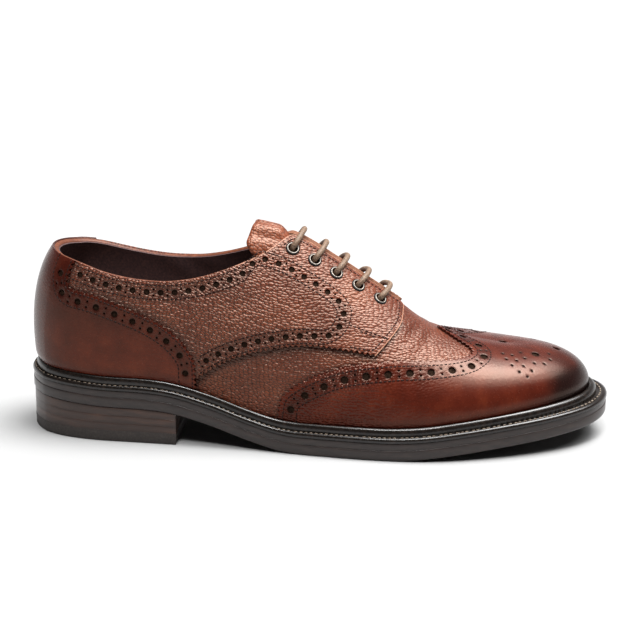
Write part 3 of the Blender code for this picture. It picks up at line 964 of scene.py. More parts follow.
def grained_calf(name, tones, crease_shade_tone, relief):
    """Pebbled calf: long pebbles with lighter crowns and creases darkened by painted shade, and slow drifts
    of colour.

    Noise scales are waves in a millimetre: the pebbles' rows wander every 3 mm, the tone every 22 mm.
    """
    made, tree, shader = material(name)
    spots = add(tree, "UVMap", {}, uv_map="millimetres").outputs["UV"]
    wander = add(tree, "TexNoise", {"Vector": spots, "Scale": 0.3, "Detail": 2.0}).outputs["Color"]
    bent = add(tree, "VectorMath", {0: wander, 1: (2.0, 1.4, 0.0), 2: spots}, operation="MULTIPLY_ADD")
    pebble = (1 / PEBBLE_LENGTH, 1 / PEBBLE_WIDTH, 0.0)
    laid = add(tree, "VectorMath", {0: bent.outputs[0], 1: pebble}, operation="MULTIPLY")
    cells = {"Vector": laid.outputs[0], "Scale": 1.0, "Randomness": 0.8}
    middles = add(tree, "TexVoronoi", cells, voronoi_dimensions="2D").outputs["Distance"]
    borders = add(tree, "TexVoronoi", cells, voronoi_dimensions="2D", feature="DISTANCE_TO_EDGE")
    domed = add(tree, "Math", {0: middles, 1: 2.0}, operation="POWER").outputs[0]
    crown = add(tree, "MapRange", {"Value": domed, 1: 0.75, 2: 0.0}).outputs[0]
    # The leather is drawn tight and smoother over the instep and the vamp
    along = add(tree, "SeparateXYZ", {0: add(tree, "TexCoord", {}).outputs["Object"]}).outputs["X"]
    kept = add(tree, "MapRange", {"Value": along, 1: -0.04, 2: 0.015, 3: 1.0, 4: 0.66}).outputs[0]
    raised = add(tree, "Math", {0: crown, 1: kept}, operation="MULTIPLY").outputs[0]
    drift = add(tree, "TexNoise", {"Vector": spots, "Scale": 0.045, "Detail": 3.0}).outputs["Fac"]
    hide = add(tree, "ValToRGB", {"Fac": drift}, stops=list(zip((0.3, 0.52, 0.72), tones))).outputs[0]
    # Painted shade darkens the creases between the pebbles
    shades = [(0.0, crease_shade_tone), (0.22, "#ffffff")]
    crease_shade = add(tree, "ValToRGB", {"Fac": borders.outputs["Distance"]}, stops=shades).outputs[0]
    toned = add(tree, "Mix", {0: kept, 6: hide, 7: crease_shade}, data_type="RGBA", blend_type="MULTIPLY")
    # Darkened by burnish and by painted shade, as the points carry them
    worn_and_shaded = add(tree, "Attribute", {}, attribute_name="burnish_and_shade").outputs["Fac"]
    dark = add(tree, "Mix", {0: worn_and_shaded, 6: toned.outputs[2], 7: linear("#2a100c")}, data_type="RGBA")
    gloss = add(tree, "MapRange", {"Value": crown, 3: 0.6, 4: 0.33}).outputs[0]
    sheen = {"Specular_IOR_Level": 0.7, "Specular_Tint": linear("#ffdcc6")}
    finish(tree, shader, dark.outputs[2], gloss, raised, relief, **sheen)
    return made


def burnished_calf():
    """Calf polished by hand: red-brown clouds of 14 mm, fine pores, and a nearly black toe and heel."""
    made, tree, shader = material("hand_burnished_calf")
    spots = add(tree, "UVMap", {}, uv_map="millimetres").outputs["UV"]
    cloudy = {"Vector": spots, "Scale": 0.07, "Detail": 5.0, "Roughness": 0.62}
    clouds = add(tree, "TexNoise", cloudy).outputs["Fac"]
    tones = [(0.3, "#3d130a"), (0.5, "#4a190e"), (0.72, "#5b2414")]
    hide = add(tree, "ValToRGB", {"Fac": clouds}, stops=tones)
    pores = add(tree, "TexNoise", {"Vector": spots, "Scale": 0.75, "Detail": 3.0}).outputs["Fac"]
    # Darkened by burnish and by painted shade, as the points carry them
    worn_and_shaded = add(tree, "Attribute", {}, attribute_name="burnish_and_shade").outputs["Fac"]
    dark = add(tree, "Mix", {0: worn_and_shaded, 6: hide.outputs[0], 7: linear("#160b0a")}, data_type="RGBA")
    gloss = add(tree, "MapRange", {"Value": pores, 3: 0.23, 4: 0.3}).outputs[0]
    pebble = (1 / WORN_PEBBLE_LENGTH, 1 / WORN_PEBBLE_WIDTH, 0.0)
    laid = add(tree, "VectorMath", {0: spots, 1: pebble}, operation="MULTIPLY")
    cells = {"Vector": laid.outputs[0], "Scale": 1.0, "Randomness": 0.8}
    middles = add(tree, "TexVoronoi", cells, voronoi_dimensions="2D").outputs["Distance"]
    # The grain is left in at the wing's tail and polished away towards the toe and the heel
    along = add(tree, "SeparateXYZ", {0: add(tree, "TexCoord", {}).outputs["Object"]}).outputs["X"]
    reach = add(tree, "MapRange", {"Value": along, 1: -0.12, 2: 0.08}).outputs[0]
    shares = [(0.0, "#3a3a3a"), (0.3, "#8a8a8a"), (0.65, "#ffffff"), (0.8, "#909090"), (1.0, "#000000")]
    left_in = add(tree, "ValToRGB", {"Fac": reach}, stops=shares).outputs[0]
    grain = add(tree, "Math", {0: middles, 1: left_in}, operation="MULTIPLY").outputs[0]
    relief = add(tree, "Math", {0: grain, 1: -9.0, 2: pores}, operation="MULTIPLY_ADD").outputs[0]
    sheen = {"Specular_IOR_Level": 0.36, "Specular_Tint": linear("#ffd8c2")}
    finish(tree, shader, dark.outputs[2], gloss, relief, 0.07, **sheen)
    return made


def mottled(name, dark, mid, light, size, roughness, depth, stretch=(1.0, 1.0, 1.0), **sockets):
    """A plain leather, rubber, thread or metal: blotches of three close tones and a relief, of one size."""
    made, tree, shader = material(name)
    spots = add(tree, "TexCoord", {}).outputs["Object"]
    scale = tuple(s / (size * MM) for s in stretch)
    laid = add(tree, "VectorMath", {0: spots, 1: scale}, operation="MULTIPLY")
    noise = add(tree, "TexNoise", {"Vector": laid.outputs[0], "Scale": 1.0, "Detail": 4.0}).outputs["Fac"]
    tones = add(tree, "ValToRGB", {"Fac": noise}, stops=[(0.3, dark), (0.5, mid), (0.7, light)])
    finish(tree, shader, tones.outputs[0], roughness, noise, depth, **sockets)
    return made


# Pressed pebble grain of the vamp and quarters: mid brown, shiny on the crowns, with painted shade
# darkening the creases
GRAINED = grained_calf("scotch_grain_calf", ("#562212", "#622a17", "#6f3721"), "#33190f", 0.58)
# The tongue's thinner calf, paler and less pebbled, with fainter painted shade in its creases
THIN_CALF = grained_calf("thin_grain_calf", ("#6e341e", "#7b3f27", "#894b33"), "#80604f", 0.3)
# Hand-polished calf of the wing cap and counter: deep red brown with a soft mirror shine
BURNISHED = burnished_calf()
# Soft brown goatskin inside the shoe, dull with fine creases
LINING = mottled("goatskin_lining", "#332020", "#422a2a", "#523631", 1.2, 0.75, 0.08)
# Folded calf at the collar, a paler orange tan
FOLDED_CALF = mottled(
    "folded_calf_edge", "#4f2817", "#5f321e", "#714028", 2.0, 0.5, 0.05, Specular_IOR_Level=0.3
)
# Raw cut edge of the quarters, paler than the dyed face
CUT_EDGE = mottled("cut_calf_edge", "#8a5a44", "#a06e55", "#b58469", 0.8, 0.6, 0.05)
# Painted shade at the foot of the punches: dark discs, nearly black and without shine, so that each hole
# reads as a hole
HOLE_SHADE = mottled(
    "painted_hole_shade", "#1a120e", "#261b15", "#34281f", 0.8, 0.95, 0.05, Specular_IOR_Level=0.0
)
# Waxed brown thread, darker than the calf
THREAD = mottled(
    "waxed_brown_thread", "#140806", "#1e0d09", "#2c150f", 0.4, 0.6, 0.05, Specular_IOR_Level=0.15
)
# Pale waxed thread on the welt, partly stained dark
PALE_THREAD = mottled(
    "waxed_grey_thread", "#40362d", "#665a4e", "#877a6b", 1.2, 0.5, 0.05, Specular_IOR_Level=0.3
)
# Stained welt leather with a grey sheen along its ridges
WELT_LEATHER = mottled("stained_welt_leather", "#0d0908", "#15100d", "#241b17", 1.6, 0.24, 0.05)
# Inked and waxed sole edge, dark brown with scuffs along its length
SOLE_LEATHER = mottled("inked_sole_edge", "#1d1513", "#251b18", "#2f2420", 3.0, 0.3, 0.03, (0.4, 0.4, 1.6))
# Stacked heel leather, redder, with streaks along each lift
HEEL_LEATHER = mottled(
    "stacked_heel_leather", "#2a1b15", "#33221b", "#432c22", 5.0, 0.32, 0.04, (0.3, 0.3, 2.0)
)
# Rubber top piece, grey black and dull
HEEL_RUBBER = mottled("heel_rubber", "#221c19", "#2b2421", "#37302c", 1.0, 0.6, 0.05)
# Sock leather inside, tan brown
SOCK = mottled("tan_sock_leather", "#3c241a", "#4c2f22", "#5c3b2b", 3.0, 0.65, 0.06)
# Black enamel over brass, with fine rub marks
ENAMEL = mottled(
    "black_enamelled_brass", "#080706", "#0d0a09", "#161210", 0.6, 0.42, 0.01, Specular_IOR_Level=0.2
)
# Pale metal on the eyelets' inner rims, a painted highlight along their rounded lips
LIP_HIGHLIGHT_METAL = mottled("pale_lip_highlight_metal", "#77716a", "#8d867e", "#a49c93", 1.5, 0.48, 0.002, Metallic=1.0)
# Round waxed cotton lace, taupe, with the weave's small ridges
COTTON = mottled("waxed_cotton_lace", "#4c3b2d", "#6d5644", "#8b715c", 0.7, 0.6, 0.18)


def build_upper():
    """The vamp and inner wall, one shell from the feather line over the collar and down inside."""
    loop = np.linspace(0.0, 2.0, VAMP_COLUMNS, endpoint=False)
    x = x_of(fold(loop)[0])
    closing = np.clip((x - THROAT_FRONT) / THROAT_ROUND + 1.0, 0.0, 1.0)
    throat = THROAT_HALF * np.sqrt(1.0 - closing**2)
    top = np.where(x < THROAT_FRONT, collar_share(loop, throat), 1.0)
    rows = [(share, 0.0) for share in np.linspace(0.0, 1.0, VAMP_ROWS)]
    rows += [(1.0, -WALL * 0.5)]
    rows += [(share, -WALL) for share in np.linspace(1.0, 0.0, LINING_ROWS)]
    place = np.array([np.column_stack([loop, top * share]) for share, _ in rows])
    points = np.array([on_last(line, np.full(len(loop), lift)) for line, (_, lift) in zip(place, rows)])
    shell = piece(
        "vamp_and_lining",
        points.reshape(-1, 3),
        grid_faces(len(rows), len(loop), True),
        GRAINED,
        ("upper",),
        texture_spots(place).reshape(-1, 2),
        # Painted shade, with dark polish, along the foot of the panels' seams
        seam_shade_and_dye(place, PANEL_SEAMS),
    )
    shell.data.materials.append(LINING)
    inner = np.repeat(np.arange(len(rows) - 1) >= VAMP_ROWS, len(loop)).astype(int)
    shell.data.polygons.foreach_set("material_index", inner)


def build_collar_roll():
    """The folded edge round the collar, as a soft flat bead."""
    side = np.linspace(0.0, station_of(QUARTER_FRONT), 400)
    loop = np.concatenate([-side[::-1], side[1:]])
    loop = loop[x_of(np.abs(loop)) < ROLL_FRONT]
    line = evened(np.column_stack([loop, collar_share(loop, FACING_GAP_HALF)]), 1.0)
    centre, facing = on_last(line), normal_at(line)
    _, left = directions(line)
    points = []
    for turn in np.linspace(0, 2 * np.pi, ROLL_SIDES, endpoint=False):
        points.append(centre + facing * (0.2 + math.cos(turn) * 1.35) + left * (math.sin(turn) * 0.5 - 0.1))
    points = np.array(points).transpose(1, 0, 2).reshape(-1, 3)
    faces = [face[::-1] for face in grid_faces(len(line), ROLL_SIDES, True)]
    piece("collar_roll", points, faces, FOLDED_CALF)


def build_wing():
    """The wing cap with its punched border and medallion, burnished dark at the tip."""
    edge = pinked(evened(wing_edge(), 0.8))
    inner = mirrored(edge)[::-1]
    sole = np.linspace(inner[-1, 0], edge[0, 0], 300)[1:-1]
    outline = np.concatenate([edge, inner[1:], np.column_stack([sole, np.zeros(len(sole))])])
    line = evened(wing_edge(), 1.0)
    first, middle, second = (inset(line, -distance) for distance in BORDER)
    holes = punch_row(middle[4:], WING_PUNCH, WING_PUNCH_PITCH)
    holes += [mirrored(hole) for hole in holes]
    holes += medallion()

    def tip(points):
        """Darker towards the toe's end, and nearly black low down there."""
        rim = 0.12 + 0.5 * ease((points[:, 0] - 266.0) / 20.0)
        low = ease((points[:, 0] - 263.0) / 17.0) * ease((45.0 - points[:, 2]) / 9.0)
        return np.maximum(rim, 0.98 * low)

    lift = tucked(WING_LIFT)
    cut_leather("wing_cap", outline, holes, lift, PANEL, BURNISHED, polish=tip)
    return holes, [first, second, mirrored(first), mirrored(second)], lift


def place_over(x, y):
    """The place on the toe's upper side over a plan point."""
    plan = POINTS[:, TOE_TOP:, :2] - [x, y]
    i, j = np.unravel_index(np.argmin((plan**2).sum(-1)), plan.shape[:2])
    place = np.array([LOOPS[i], SHARES[TOE_TOP + j]])
    step = np.append(-plan[i, j], 0.0)
    return walk(place[None], step[None])[0]


def medallion():
    """The toe's punched figure: four large punches, with rows of pinholes curving about the side ones."""
    large, small = [(x, 0.0) for x in MEDALLION_ENDS], []
    for side in (-1, 1):
        large.append((MEDALLION_MIDDLE, side * MEDALLION_SIDE))
        for row in MEDALLION_ROWS:
            for k in range(int(row["count"])):
                angle = math.radians(row["first"] + row["step"] * k)
                x = MEDALLION_MIDDLE + row["radius"] * math.cos(angle)
                small.append((x, side * (MEDALLION_SIDE - row["radius"] * math.sin(angle))))
    punches = [(*spot, WING_PUNCH, PUNCH_SIDES) for spot in large]
    punches += [(*spot, MEDALLION_PINHOLE, MEDALLION_PINHOLE_SIDES) for spot in small]
    holes = []
    for x, off, radius, sides in punches:
        y = smooth(FEATHER, "axis", x) + off
        turns = np.linspace(0, 2 * np.pi, sides, endpoint=False)
        holes.append(np.array([place_over(x + radius * np.cos(a), y + radius * np.sin(a)) for a in turns]))
    return holes


# The other side of the heel, where the loop coordinate starts
ACROSS_HEEL = np.array([-1.0, 1.0])


def build_counter():
    """The heel counter with its back tab, one piece round the back, burnished dark behind and above."""
    tab = evened(tab_edge(), 1.0)
    line = evened(rounded(np.concatenate([counter_edge(), tab[4:]]), 10), 1.0)
    loop = np.linspace(tab[-1, 0], -tab[-1, 0], 80)[1:-1]
    top = np.column_stack([loop, collar_share(np.abs(loop), FACING_GAP_HALF)])
    side = np.concatenate([pinked(line)[:-1], tab[-1:]])
    other = side[::-1] * ACROSS_HEEL
    sole = np.linspace(other[-1, 0], side[0, 0], 200)[1:-1]
    outline = np.concatenate([side, top, other, np.column_stack([sole, np.zeros(len(sole))])])
    first, middle, second = (inset(line, distance) for distance in BORDER)
    holes = punch_row(middle[8:-6], COUNTER_PUNCH, COUNTER_PUNCH_PITCH)
    holes += [hole * ACROSS_HEEL for hole in holes]

    def back(points):
        """Darker towards the back and up to the collar."""
        rear = 0.35 * ease((40.0 - points[:, 0]) / 40.0)
        collar = 0.45 * ease((points[:, 2] - 46.0) / 24.0)
        return np.maximum(rear, collar)

    lift = tucked(COUNTER_LIFT)
    cut_leather("counter", outline, holes, lift, COUNTER_WALL, BURNISHED, polish=back)
    return holes, [first, second, first * ACROSS_HEEL, second * ACROSS_HEEL], lift


def quarter_lift(place):
    """The quarter's face, which sinks a little under the counter."""
    return QUARTER_LIFT - 0.3 * ease((60.0 - x_of(fold(place[..., 0])[0])) / 40.0)


def build_quarters():
    """Both quarters: pinked below, raw at the facing, punched along the collar, the facing and the hem."""
    front, lower = quarter_lower()
    top = evened(quarter_top(QUARTER_REAR), 0.8)
    behind = by_height(COUNTER_EDGE)[::-1]
    behind[:, 1] -= COUNTER_LAP / length_at(behind[:, 0])
    under = station_of(COUNTER_FRONT - COUNTER_LAP_FRONT)
    behind = np.concatenate([[[under, lower[-1, 1]]], behind[behind[:, 0] < under]])
    corner = np.array([[station_of(QUARTER_REAR), behind[-1, 1]]])
    teeth = pinked(evened(lower, 0.5)[::-1])[::-1]
    facing = rounded(evened(np.concatenate([top, front]), 0.7), 24)
    outline = np.concatenate([facing[:-1], teeth, evened(behind, 1.0), corner])

    collar = evened(quarter_top(COUNTER_TAB + 1.0), 1.0)
    collar = collar[x_of(collar[:, 0]) < COLLAR_ROW_FRONT]
    loop = station_of(FACING_ROW["x"])
    down = evened(np.column_stack([loop, 1 - FACING_ROW["down"] / length_at(loop)]), 1.0)
    hem = evened(lower, 1.0)
    hem = hem[x_of(hem[:, 0]) < HEM_ROW_FRONT]
    rows = []
    for distance in BORDER:
        low = inset(hem, -distance)
        low = low[x_of(low[:, 0]) > COUNTER_FRONT + 1.5]
        line = np.concatenate([inset(collar, -distance), inset(down, PUNCH_ROW - distance), low])
        rows.append(rounded(evened(line, 1.0), 8))
    holes = punch_row(rows[1], QUARTER_PUNCH, QUARTER_PUNCH_PITCH)
    holes += [ring(place, EYELET_BORE, 20) for place in eyelet_places()]
    rim = np.concatenate([quarter_top(ROLL_FRONT), front, lower[:12]])
    stitches = [rows[0], rows[2], inset(rounded(evened(rim, 1.0), 14), -FACING_STITCH)]
    for row in BAR_STITCHES:
        x = np.linspace(row["first"], row["last"], 30)
        loop = station_of(x)
        stitches.append(np.column_stack([loop, 1 - (row["down"] - x * BAR_SLOPE) / length_at(loop)]))
    for side, flip in (("outer", np.asarray), ("inner", mirrored)):
        cut_leather(
            f"quarter_{side}",
            flip(outline),
            [flip(hole) for hole in holes],
            quarter_lift,
            QUARTER_WALL,
            GRAINED,
            cut_edge=CUT_EDGE,
            seams=COUNTER_SEAM,
        )
    both = holes + [mirrored(hole) for hole in holes]
    return both, stitches + [mirrored(row) for row in stitches], quarter_lift


def build_hole_shade(panels):
    """Dark discs at the foot of every punch, painted shade for the depth of the hole."""
    points, faces = [], []
    for holes, _, lift in panels:
        for hole in holes:
            base, count = len(points), len(hole)
            rim = on_last(hole, np.maximum(lift(hole) - HOLE_SHADE_DEPTH, 0.06))
            points += [*rim, rim.mean(axis=0)]
            faces += [[base + k, base + (k + 1) % count, base + count] for k in range(count)]
    piece("punch_hole_shade", np.array(points), faces, HOLE_SHADE)


def build_stitches(panels):
    stitches = []
    for _, rows, lift in panels:
        for row in rows:
            places, along, left = spread_along(row, STITCH_PITCH)
            centres = on_last(places, lift(places) - STITCH_SINK)
            stitches += zip(centres, along, left, normal_at(places))
    points, faces = sewn(stitches, STITCH_LENGTH, STITCH_RADIUS, STITCH_SHOULDER)
    piece("upper_stitches", points, faces, THREAD)


def build_tongue():
    """The tongue under the lacing, padded by its own folds that fan out towards the top."""
    x = np.linspace(TONGUE_TOP, TONGUE_FRONT, 70)
    across = np.linspace(-1.0, 1.0, 61)
    half = smooth(TONGUE_HALF, "half", x)
    place = np.empty((len(x), len(across), 2))
    for j, share in enumerate(across):
        corner = max(abs(share) - 0.7, 0.0) / 0.3
        end_curve = 3.0 - 5.0 * share**2 + 9.0 * corner**2
        loop = station_of(x + end_curve * ease((TONGUE_FLARE - x) / (TONGUE_FLARE - TONGUE_TOP)))
        down = 1.0 - np.abs(share) * half / length_at(loop)
        place[:, j] = np.column_stack([loop if share < 0 else 2.0 - loop, down])
    folds = np.zeros(place.shape[:2])
    fanned = ease((TONGUE_FLARE - x) / 25.0)[:, None]
    for row in TONGUE_FOLDS:
        folds -= row["depth"] * np.exp(-(((across - row["middle"]) / row["width"]) ** 2)) * fanned
    sides = np.minimum(1.0, (1.0 - np.abs(across)) * 9.0)
    end = np.minimum(1.0, (x - TONGUE_TOP) / 1.6)[:, None]
    rounding = TONGUE_WALL * 0.5 * (1.0 - np.sqrt(np.clip(1 - (1 - sides * end) ** 2, 0, 1)))
    stand = np.zeros((len(x), len(across), 3))
    stand[..., 2] = TONGUE_RISE * ease((144.0 - x) / 13.0)[:, None] * (1.0 - across**2)
    outer = on_last(place, folds - TONGUE_DEPTH - rounding) + stand
    inner = on_last(place, folds * 0.6 - TONGUE_DEPTH - TONGUE_WALL + rounding) + stand
    points = np.concatenate([outer.reshape(-1, 3), inner.reshape(-1, 3)])
    sheet = grid_faces(len(x), len(across))
    faces = [face[::-1] for face in sheet] + [[len(points) // 2 + v for v in face] for face in sheet]
    grain = np.tile(texture_spots(place).reshape(-1, 2), (2, 1))
    piece("tongue_leather", points, faces, THIN_CALF, ("tongue",), grain)


def eyelet_places():
    x = EYELET_FIRST + EYELET_STEP * np.arange(EYELETS)
    loop = station_of(x)
    return np.column_stack([loop, 1.0 - EYELET_OFFSET / length_at(loop)])


def lathe(centres, profile):
    """Rings turned about each place's own outward direction."""
    turns = np.linspace(0, 2 * np.pi, EYELET_SIDES, endpoint=False)
    points, faces = [], []
    for centre, facing in centres:
        side = np.cross(facing, [1.0, 0.0, 0.0])
        side /= np.linalg.norm(side)
        ahead = np.cross(facing, side)
        base = len(points)
        for radius, up in profile:
            for turn in turns:
                aside = side * math.cos(turn) + ahead * math.sin(turn)
                points.append(centre + facing * up + radius * aside)
        faces += [[base + v for v in face] for face in grid_faces(len(profile), EYELET_SIDES, True)]
    return np.array(points), faces


def build_eyelets():
    places = np.concatenate([eyelet_places(), mirrored(eyelet_places())])
    centres = list(zip(on_last(places, np.full(len(places), QUARTER_LIFT)), normal_at(places)))
    solids = [f"eyelet_{side}_{k + 1}" for side in ("outer", "inner") for k in range(EYELETS)]
    points, faces = lathe(centres, EYELET_FLANGE)
    piece("eyelet_rings", points, faces, ENAMEL, solids)
    # The inner rims take the pale metal: a painted highlight on each eyelet's lip
    points, faces = lathe(centres, EYELET_LIP)
    piece("eyelet_inner_rims", points, faces, LIP_HIGHLIGHT_METAL)


def tube(path, radius, sides):
    """A round cord along a path, with closed ends."""
    along = np.gradient(path, axis=0)
    along /= np.linalg.norm(along, axis=1, keepdims=True)
    side = np.cross(along, [1.0, 0.0, 0.0])
    side /= np.linalg.norm(side, axis=1, keepdims=True)
    up = np.cross(along, side)
    turns = np.linspace(0, 2 * np.pi, sides, endpoint=False)
    points = np.array([path + radius * (side * math.cos(turn) + up * math.sin(turn)) for turn in turns])
    points = points.transpose(1, 0, 2).reshape(-1, 3)
    faces = grid_faces(len(path), sides, True)
    faces += [list(range(sides))[::-1], [len(points) - sides + k for k in range(sides)]]
    return points, faces


def rounded_path(path):
    """A fine smooth path through rough points."""
    path = np.array(path)
    run = np.append(0.0, np.cumsum(np.linalg.norm(np.diff(path, axis=0), axis=1)))
    at = np.arange(0.0, run[-1], 0.4)
    return rounded(np.column_stack([np.interp(at, run, path[:, k]) for k in range(3)]), 14)


def build_laces():
    """Five straight bars, each one dropping through its two eyelets."""
    for k in range(EYELETS):
        x = EYELET_FIRST + EYELET_STEP * k
        outer = np.array([station_of(x), 1.0 - LACE_REACH / length_at(station_of(x))])
        path = [on_last(outer, drop) for drop in LACE_DROP[::-1]]
        for share in np.linspace(-1.0, 1.0, 13):
            arch = 1 - share * share
            loop = station_of(x + LACE_LEAN * arch)
            level = 1.0 - LACE_REACH * abs(share) / length_at(loop)
            lift = QUARTER_LIFT + EYELET_RIM + LACE_RADIUS + LACE_CLEAR + LACE_ARCH * arch
            lift -= LACE_DIP * max(abs(share) - LACE_DIP_FROM, 0.0) / (1.0 - LACE_DIP_FROM)
            path.append(on_last(np.array([loop if share < 0 else 2.0 - loop, level]), lift))
        path += [on_last(mirrored(outer), drop) for drop in LACE_DROP]
        points, faces = tube(rounded_path(path), LACE_RADIUS, LACE_SIDES)
        piece(f"lace_{k + 1}", points, faces, COTTON, (f"lace_bar_{k + 1}",))


def plate(name, rim, low, high, surface, node, soft):
    """A flat sole layer between two levels: its rim swept with softened edges, its faces filled across."""
    count = len(rim)
    ahead = np.roll(rim, -1, axis=0) - np.roll(rim, 1, axis=0)
    ahead /= np.linalg.norm(ahead, axis=1, keepdims=True)
    out = np.column_stack([ahead[:, 1], -ahead[:, 0]])
    below, above = soft
    steps = [(low, 3.0, 0.0), (low, below, 0.0), (low, below * 0.3, below * 0.3), (low, 0.0, below)]
    steps += [(high, 0.0, -above), (high, above * 0.3, -above * 0.3), (high, above, 0.0), (high, 3.0, 0.0)]
    rows = []
    for level, back, up in steps:
        plan = rim - out * back
        rows.append(np.column_stack([plan, level(plan[:, 0]) + up]))
    faces = grid_faces(len(rows), count, True)
    pairs = [(k, (count - k) % count) for k in range(count // 2 + 1)]
    for base, turn in ((0, -1), ((len(rows) - 1) * count, 1)):
        for (a, b), (c, d) in zip(pairs[:-1], pairs[1:]):
            face = list(dict.fromkeys([base + a, base + c, base + d, base + b]))
            faces.append(face[::turn])
    piece(name, np.concatenate(rows), faces, surface, (node,), sharp=60)


def over_ground(up):
    """The level so far above the sole's underside."""
    return lambda x: underside(x) + up


def in_heel(share):
    """The level at a share of the heel's stack, from the rubber up to the sole."""
    return lambda x: TOP_PIECE + (underside(x) - TOP_PIECE) * share


def build_sole():
    """The two sole layers, the heel's leather lifts and its rubber top piece."""
    loop = np.linspace(0.0, 2.0, 420, endpoint=False)
    rim = sole_edge(loop)
    high = over_ground(OUTSOLE)
    plate("outsole_edge", rim, underside, high, SOLE_LEATHER, "outsole", (1.0, 0.12))
    rim = sole_edge(loop, MIDSOLE_INSET)
    low, high = over_ground(MIDSOLE_BASE - MIDSOLE_OVER), over_ground(MIDSOLE_BASE + MIDSOLE + MIDSOLE_OVER)
    plate("midsole_edge", rim, low, high, SOLE_LEATHER, "midsole", (0.12, 0.2))
    breast = float(station_of(HEEL_BREAST))
    curve = sole_edge(np.linspace(-breast, breast, 200), HEEL_INSET)
    curve[0, 0] = curve[-1, 0] = HEEL_BREAST
    face = np.column_stack([np.full(11, HEEL_BREAST), np.linspace(curve[-1, 1], curve[0, 1], 13)[1:-1]])
    rim = np.concatenate([curve[100:], face, curve[:100]])
    for k in range(HEEL_LIFTS):
        name, node = f"heel_lift_{k + 1}_leather", f"heel_lift_{HEEL_LIFTS - k}"
        low, high = in_heel(k / HEEL_LIFTS), in_heel((k + 1) / HEEL_LIFTS)
        plate(name, rim, low, high, HEEL_LEATHER, node, (0.03, 0.03))
    low, high = np.zeros_like, in_heel(0.0)
    plate("heel_top_rubber", rim, low, high, HEEL_RUBBER, "heel_top_piece", (0.5, 0.12))


def build_welt():
    """The storm welt: a flat stitched shelf, a groove, and the bead that stands against the upper."""
    loop = np.linspace(0.0, 2.0, 700, endpoint=False)
    count = len(loop)
    foot, out = feather(loop), outward(loop)
    width = smooth(SOLE_EDGE, "out", foot[:, 0])
    base = underside(foot[:, 0]) + WELT_BASE
    bead = BEAD + BEAD_SPREAD * (width - width.min())
    lip = width - bead
    inner = np.full_like(width, -2.4)
    profile = [(inner, 0.0), (width, 0.0), (width + 0.25, 0.6), (width + 0.25, 1.5), (width - 0.15, 2.35)]
    shelf = ((0.78, 2.75), (0.58, 2.7), (0.42, 2.3), (0.3, 1.75))
    profile += [(bead + lip * share, up) for share, up in shelf]
    profile += [(bead + 0.25, 1.6)]
    for turn in np.radians(np.linspace(-20, 190, 15)):
        reach = (bead + 0.7) / 2 + (bead - 0.7) / 2 * math.cos(turn)
        profile.append((reach, 3.2 + 3.4 * math.sin(turn)))
    profile += [(inner, WELT)]
    rows = [np.column_stack([foot + out * reach[:, None], base + up]) for reach, up in profile]
    faces = grid_faces(len(rows), count, True)
    last = (len(rows) - 1) * count
    faces += [[last + k, last + (k + 1) % count, (k + 1) % count, k] for k in range(count)]
    piece("welt_leather", np.concatenate(rows), faces, WELT_LEATHER, ("welt",), sharp=70)
    run = np.append(0.0, np.cumsum(np.linalg.norm(np.diff(foot, axis=0), axis=1)))
    up = np.array([0.0, 0.0, 1.0])
    stitches = []
    for at in np.arange(0.0, run[-1], WELT_STITCH_PITCH):
        k = int(np.searchsorted(run, at)) % count
        plan = foot[k] + out[k] * (bead[k] + WELT_STITCH_OUT * lip[k])
        aside = np.append(out[k], 0.0)
        stitches.append((np.append(plan, base[k] + WELT_STITCH_UP), np.cross(up, aside), aside, up))
    points, faces = sewn(stitches, WELT_STITCH_LENGTH, WELT_STITCH_RADIUS, WELT_STITCH_SHOULDER)
    piece("welt_stitches", points, faces, PALE_THREAD)


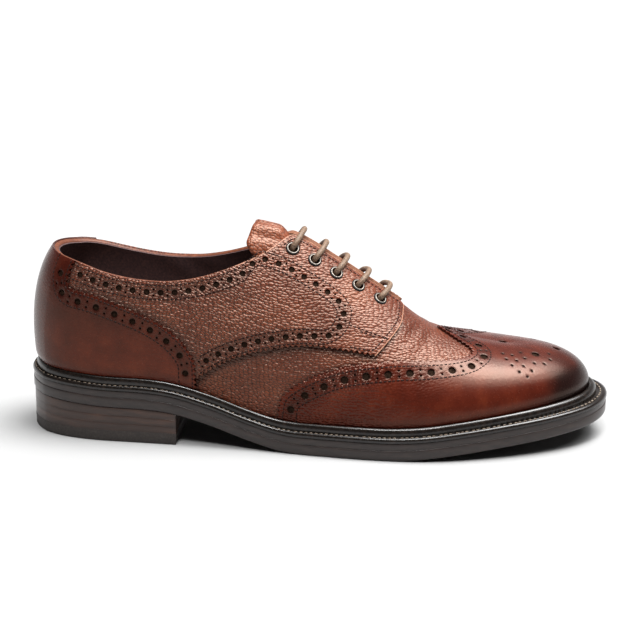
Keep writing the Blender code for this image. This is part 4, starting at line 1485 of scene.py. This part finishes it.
def build_stage():
    """A pale paper floor, three softboxes, and a pale backdrop of light."""
    mesh = bpy.data.meshes.new("floor")
    far = 20.0
    mesh.from_pydata([(-far, -far, 0), (far, -far, 0), (far, far, 0), (-far, far, 0)], [], [[0, 1, 2, 3]])
    floor = bpy.data.objects.new("floor", mesh)
    bpy.context.scene.collection.objects.link(floor)
    # White paper with the faintest tone of pulp
    paper, tree, shader = material("white_sweep_paper")
    spots = add(tree, "TexCoord", {}).outputs["Object"]
    pulp = add(tree, "TexNoise", {"Vector": spots, "Scale": 6.0, "Detail": 2.0}).outputs["Fac"]
    tone = add(tree, "ValToRGB", {"Fac": pulp}, stops=[(0.3, "#9a9a9a"), (0.7, "#9e9e9e")])
    tree.links.new(tone.outputs[0], shader.inputs["Base Color"])
    shader.inputs["Roughness"].default_value = 0.9
    shader.inputs["Specular IOR Level"].default_value = 0.0
    mesh.materials.append(paper)

    for name, spread, energy, way in SOFTBOXES:
        light = bpy.data.lights.new(name, "SUN")
        light.angle = math.radians(spread)
        light.energy = energy
        lamp = bpy.data.objects.new(name, light)
        lamp.rotation_euler = Vector(way).to_track_quat("-Z", "Y").to_euler()
        bpy.context.scene.collection.objects.link(lamp)

    world = bpy.data.worlds.new("studio")
    bpy.context.scene.world = world
    world.use_nodes = True
    tree = world.node_tree
    way = add(tree, "SeparateXYZ", {0: add(tree, "TexCoord", {}).outputs["Generated"]}).outputs
    rise = add(tree, "MapRange", {"Value": way["Z"], 1: 0.0, 2: 1.0}).outputs[0]
    tones = [(0.0, "#ffffff"), (0.2, "#d0d0d0"), (0.36, "#484848"), (1.0, "#ffffff")]
    height = add(tree, "ValToRGB", {"Fac": rise}, stops=tones).outputs[0]
    back = add(tree, "MapRange", {"Value": way["Y"], 1: 0.0, 2: 0.8, 3: 0.08, 4: 1.0}).outputs[0]
    shade = add(tree, "Mix", {0: 1.0, 6: height, 7: back}, data_type="RGBA", blend_type="MULTIPLY")
    sky = tree.nodes["Background"]
    tree.links.new(shade.outputs[2], sky.inputs["Color"])
    sky.inputs["Strength"].default_value = 1.0


def build_camera():
    turn, rise, roll = (math.radians(a) for a in (CAMERA_AZIMUTH, CAMERA_ELEVATION, CAMERA_ROLL))
    ahead = np.array([-math.sin(turn) * math.cos(rise), math.cos(turn) * math.cos(rise), -math.sin(rise)])
    right = np.array([math.cos(turn), math.sin(turn), 0.0])
    up = np.cross(right, ahead)
    across = math.cos(roll) * right + math.sin(roll) * up
    upright = -math.sin(roll) * right + math.cos(roll) * up
    data = bpy.data.cameras.new("camera")
    data.lens = CAMERA_LENS
    data.clip_end = 60.0
    camera = bpy.data.objects.new("camera", data)
    stand = (np.array(CAMERA_AIM) - CENTRE - CAMERA_DISTANCE * ahead) * MM
    pose = np.eye(4)
    pose[:3, 0], pose[:3, 1], pose[:3, 2], pose[:3, 3] = across, upright, -ahead, stand
    camera.matrix_world = Matrix(pose.tolist())
    bpy.context.scene.collection.objects.link(camera)
    bpy.context.scene.camera = camera


build_upper()
build_collar_roll()
panels = [build_wing(), build_counter(), build_quarters()]
build_hole_shade(panels)
build_stitches(panels)
build_tongue()
build_eyelets()
build_laces()
build_welt()
build_sole()
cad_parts["insole"].material_slots[0].material = SOCK
build_stage()
build_camera()
bpy.context.scene.view_settings.view_transform = "Standard"
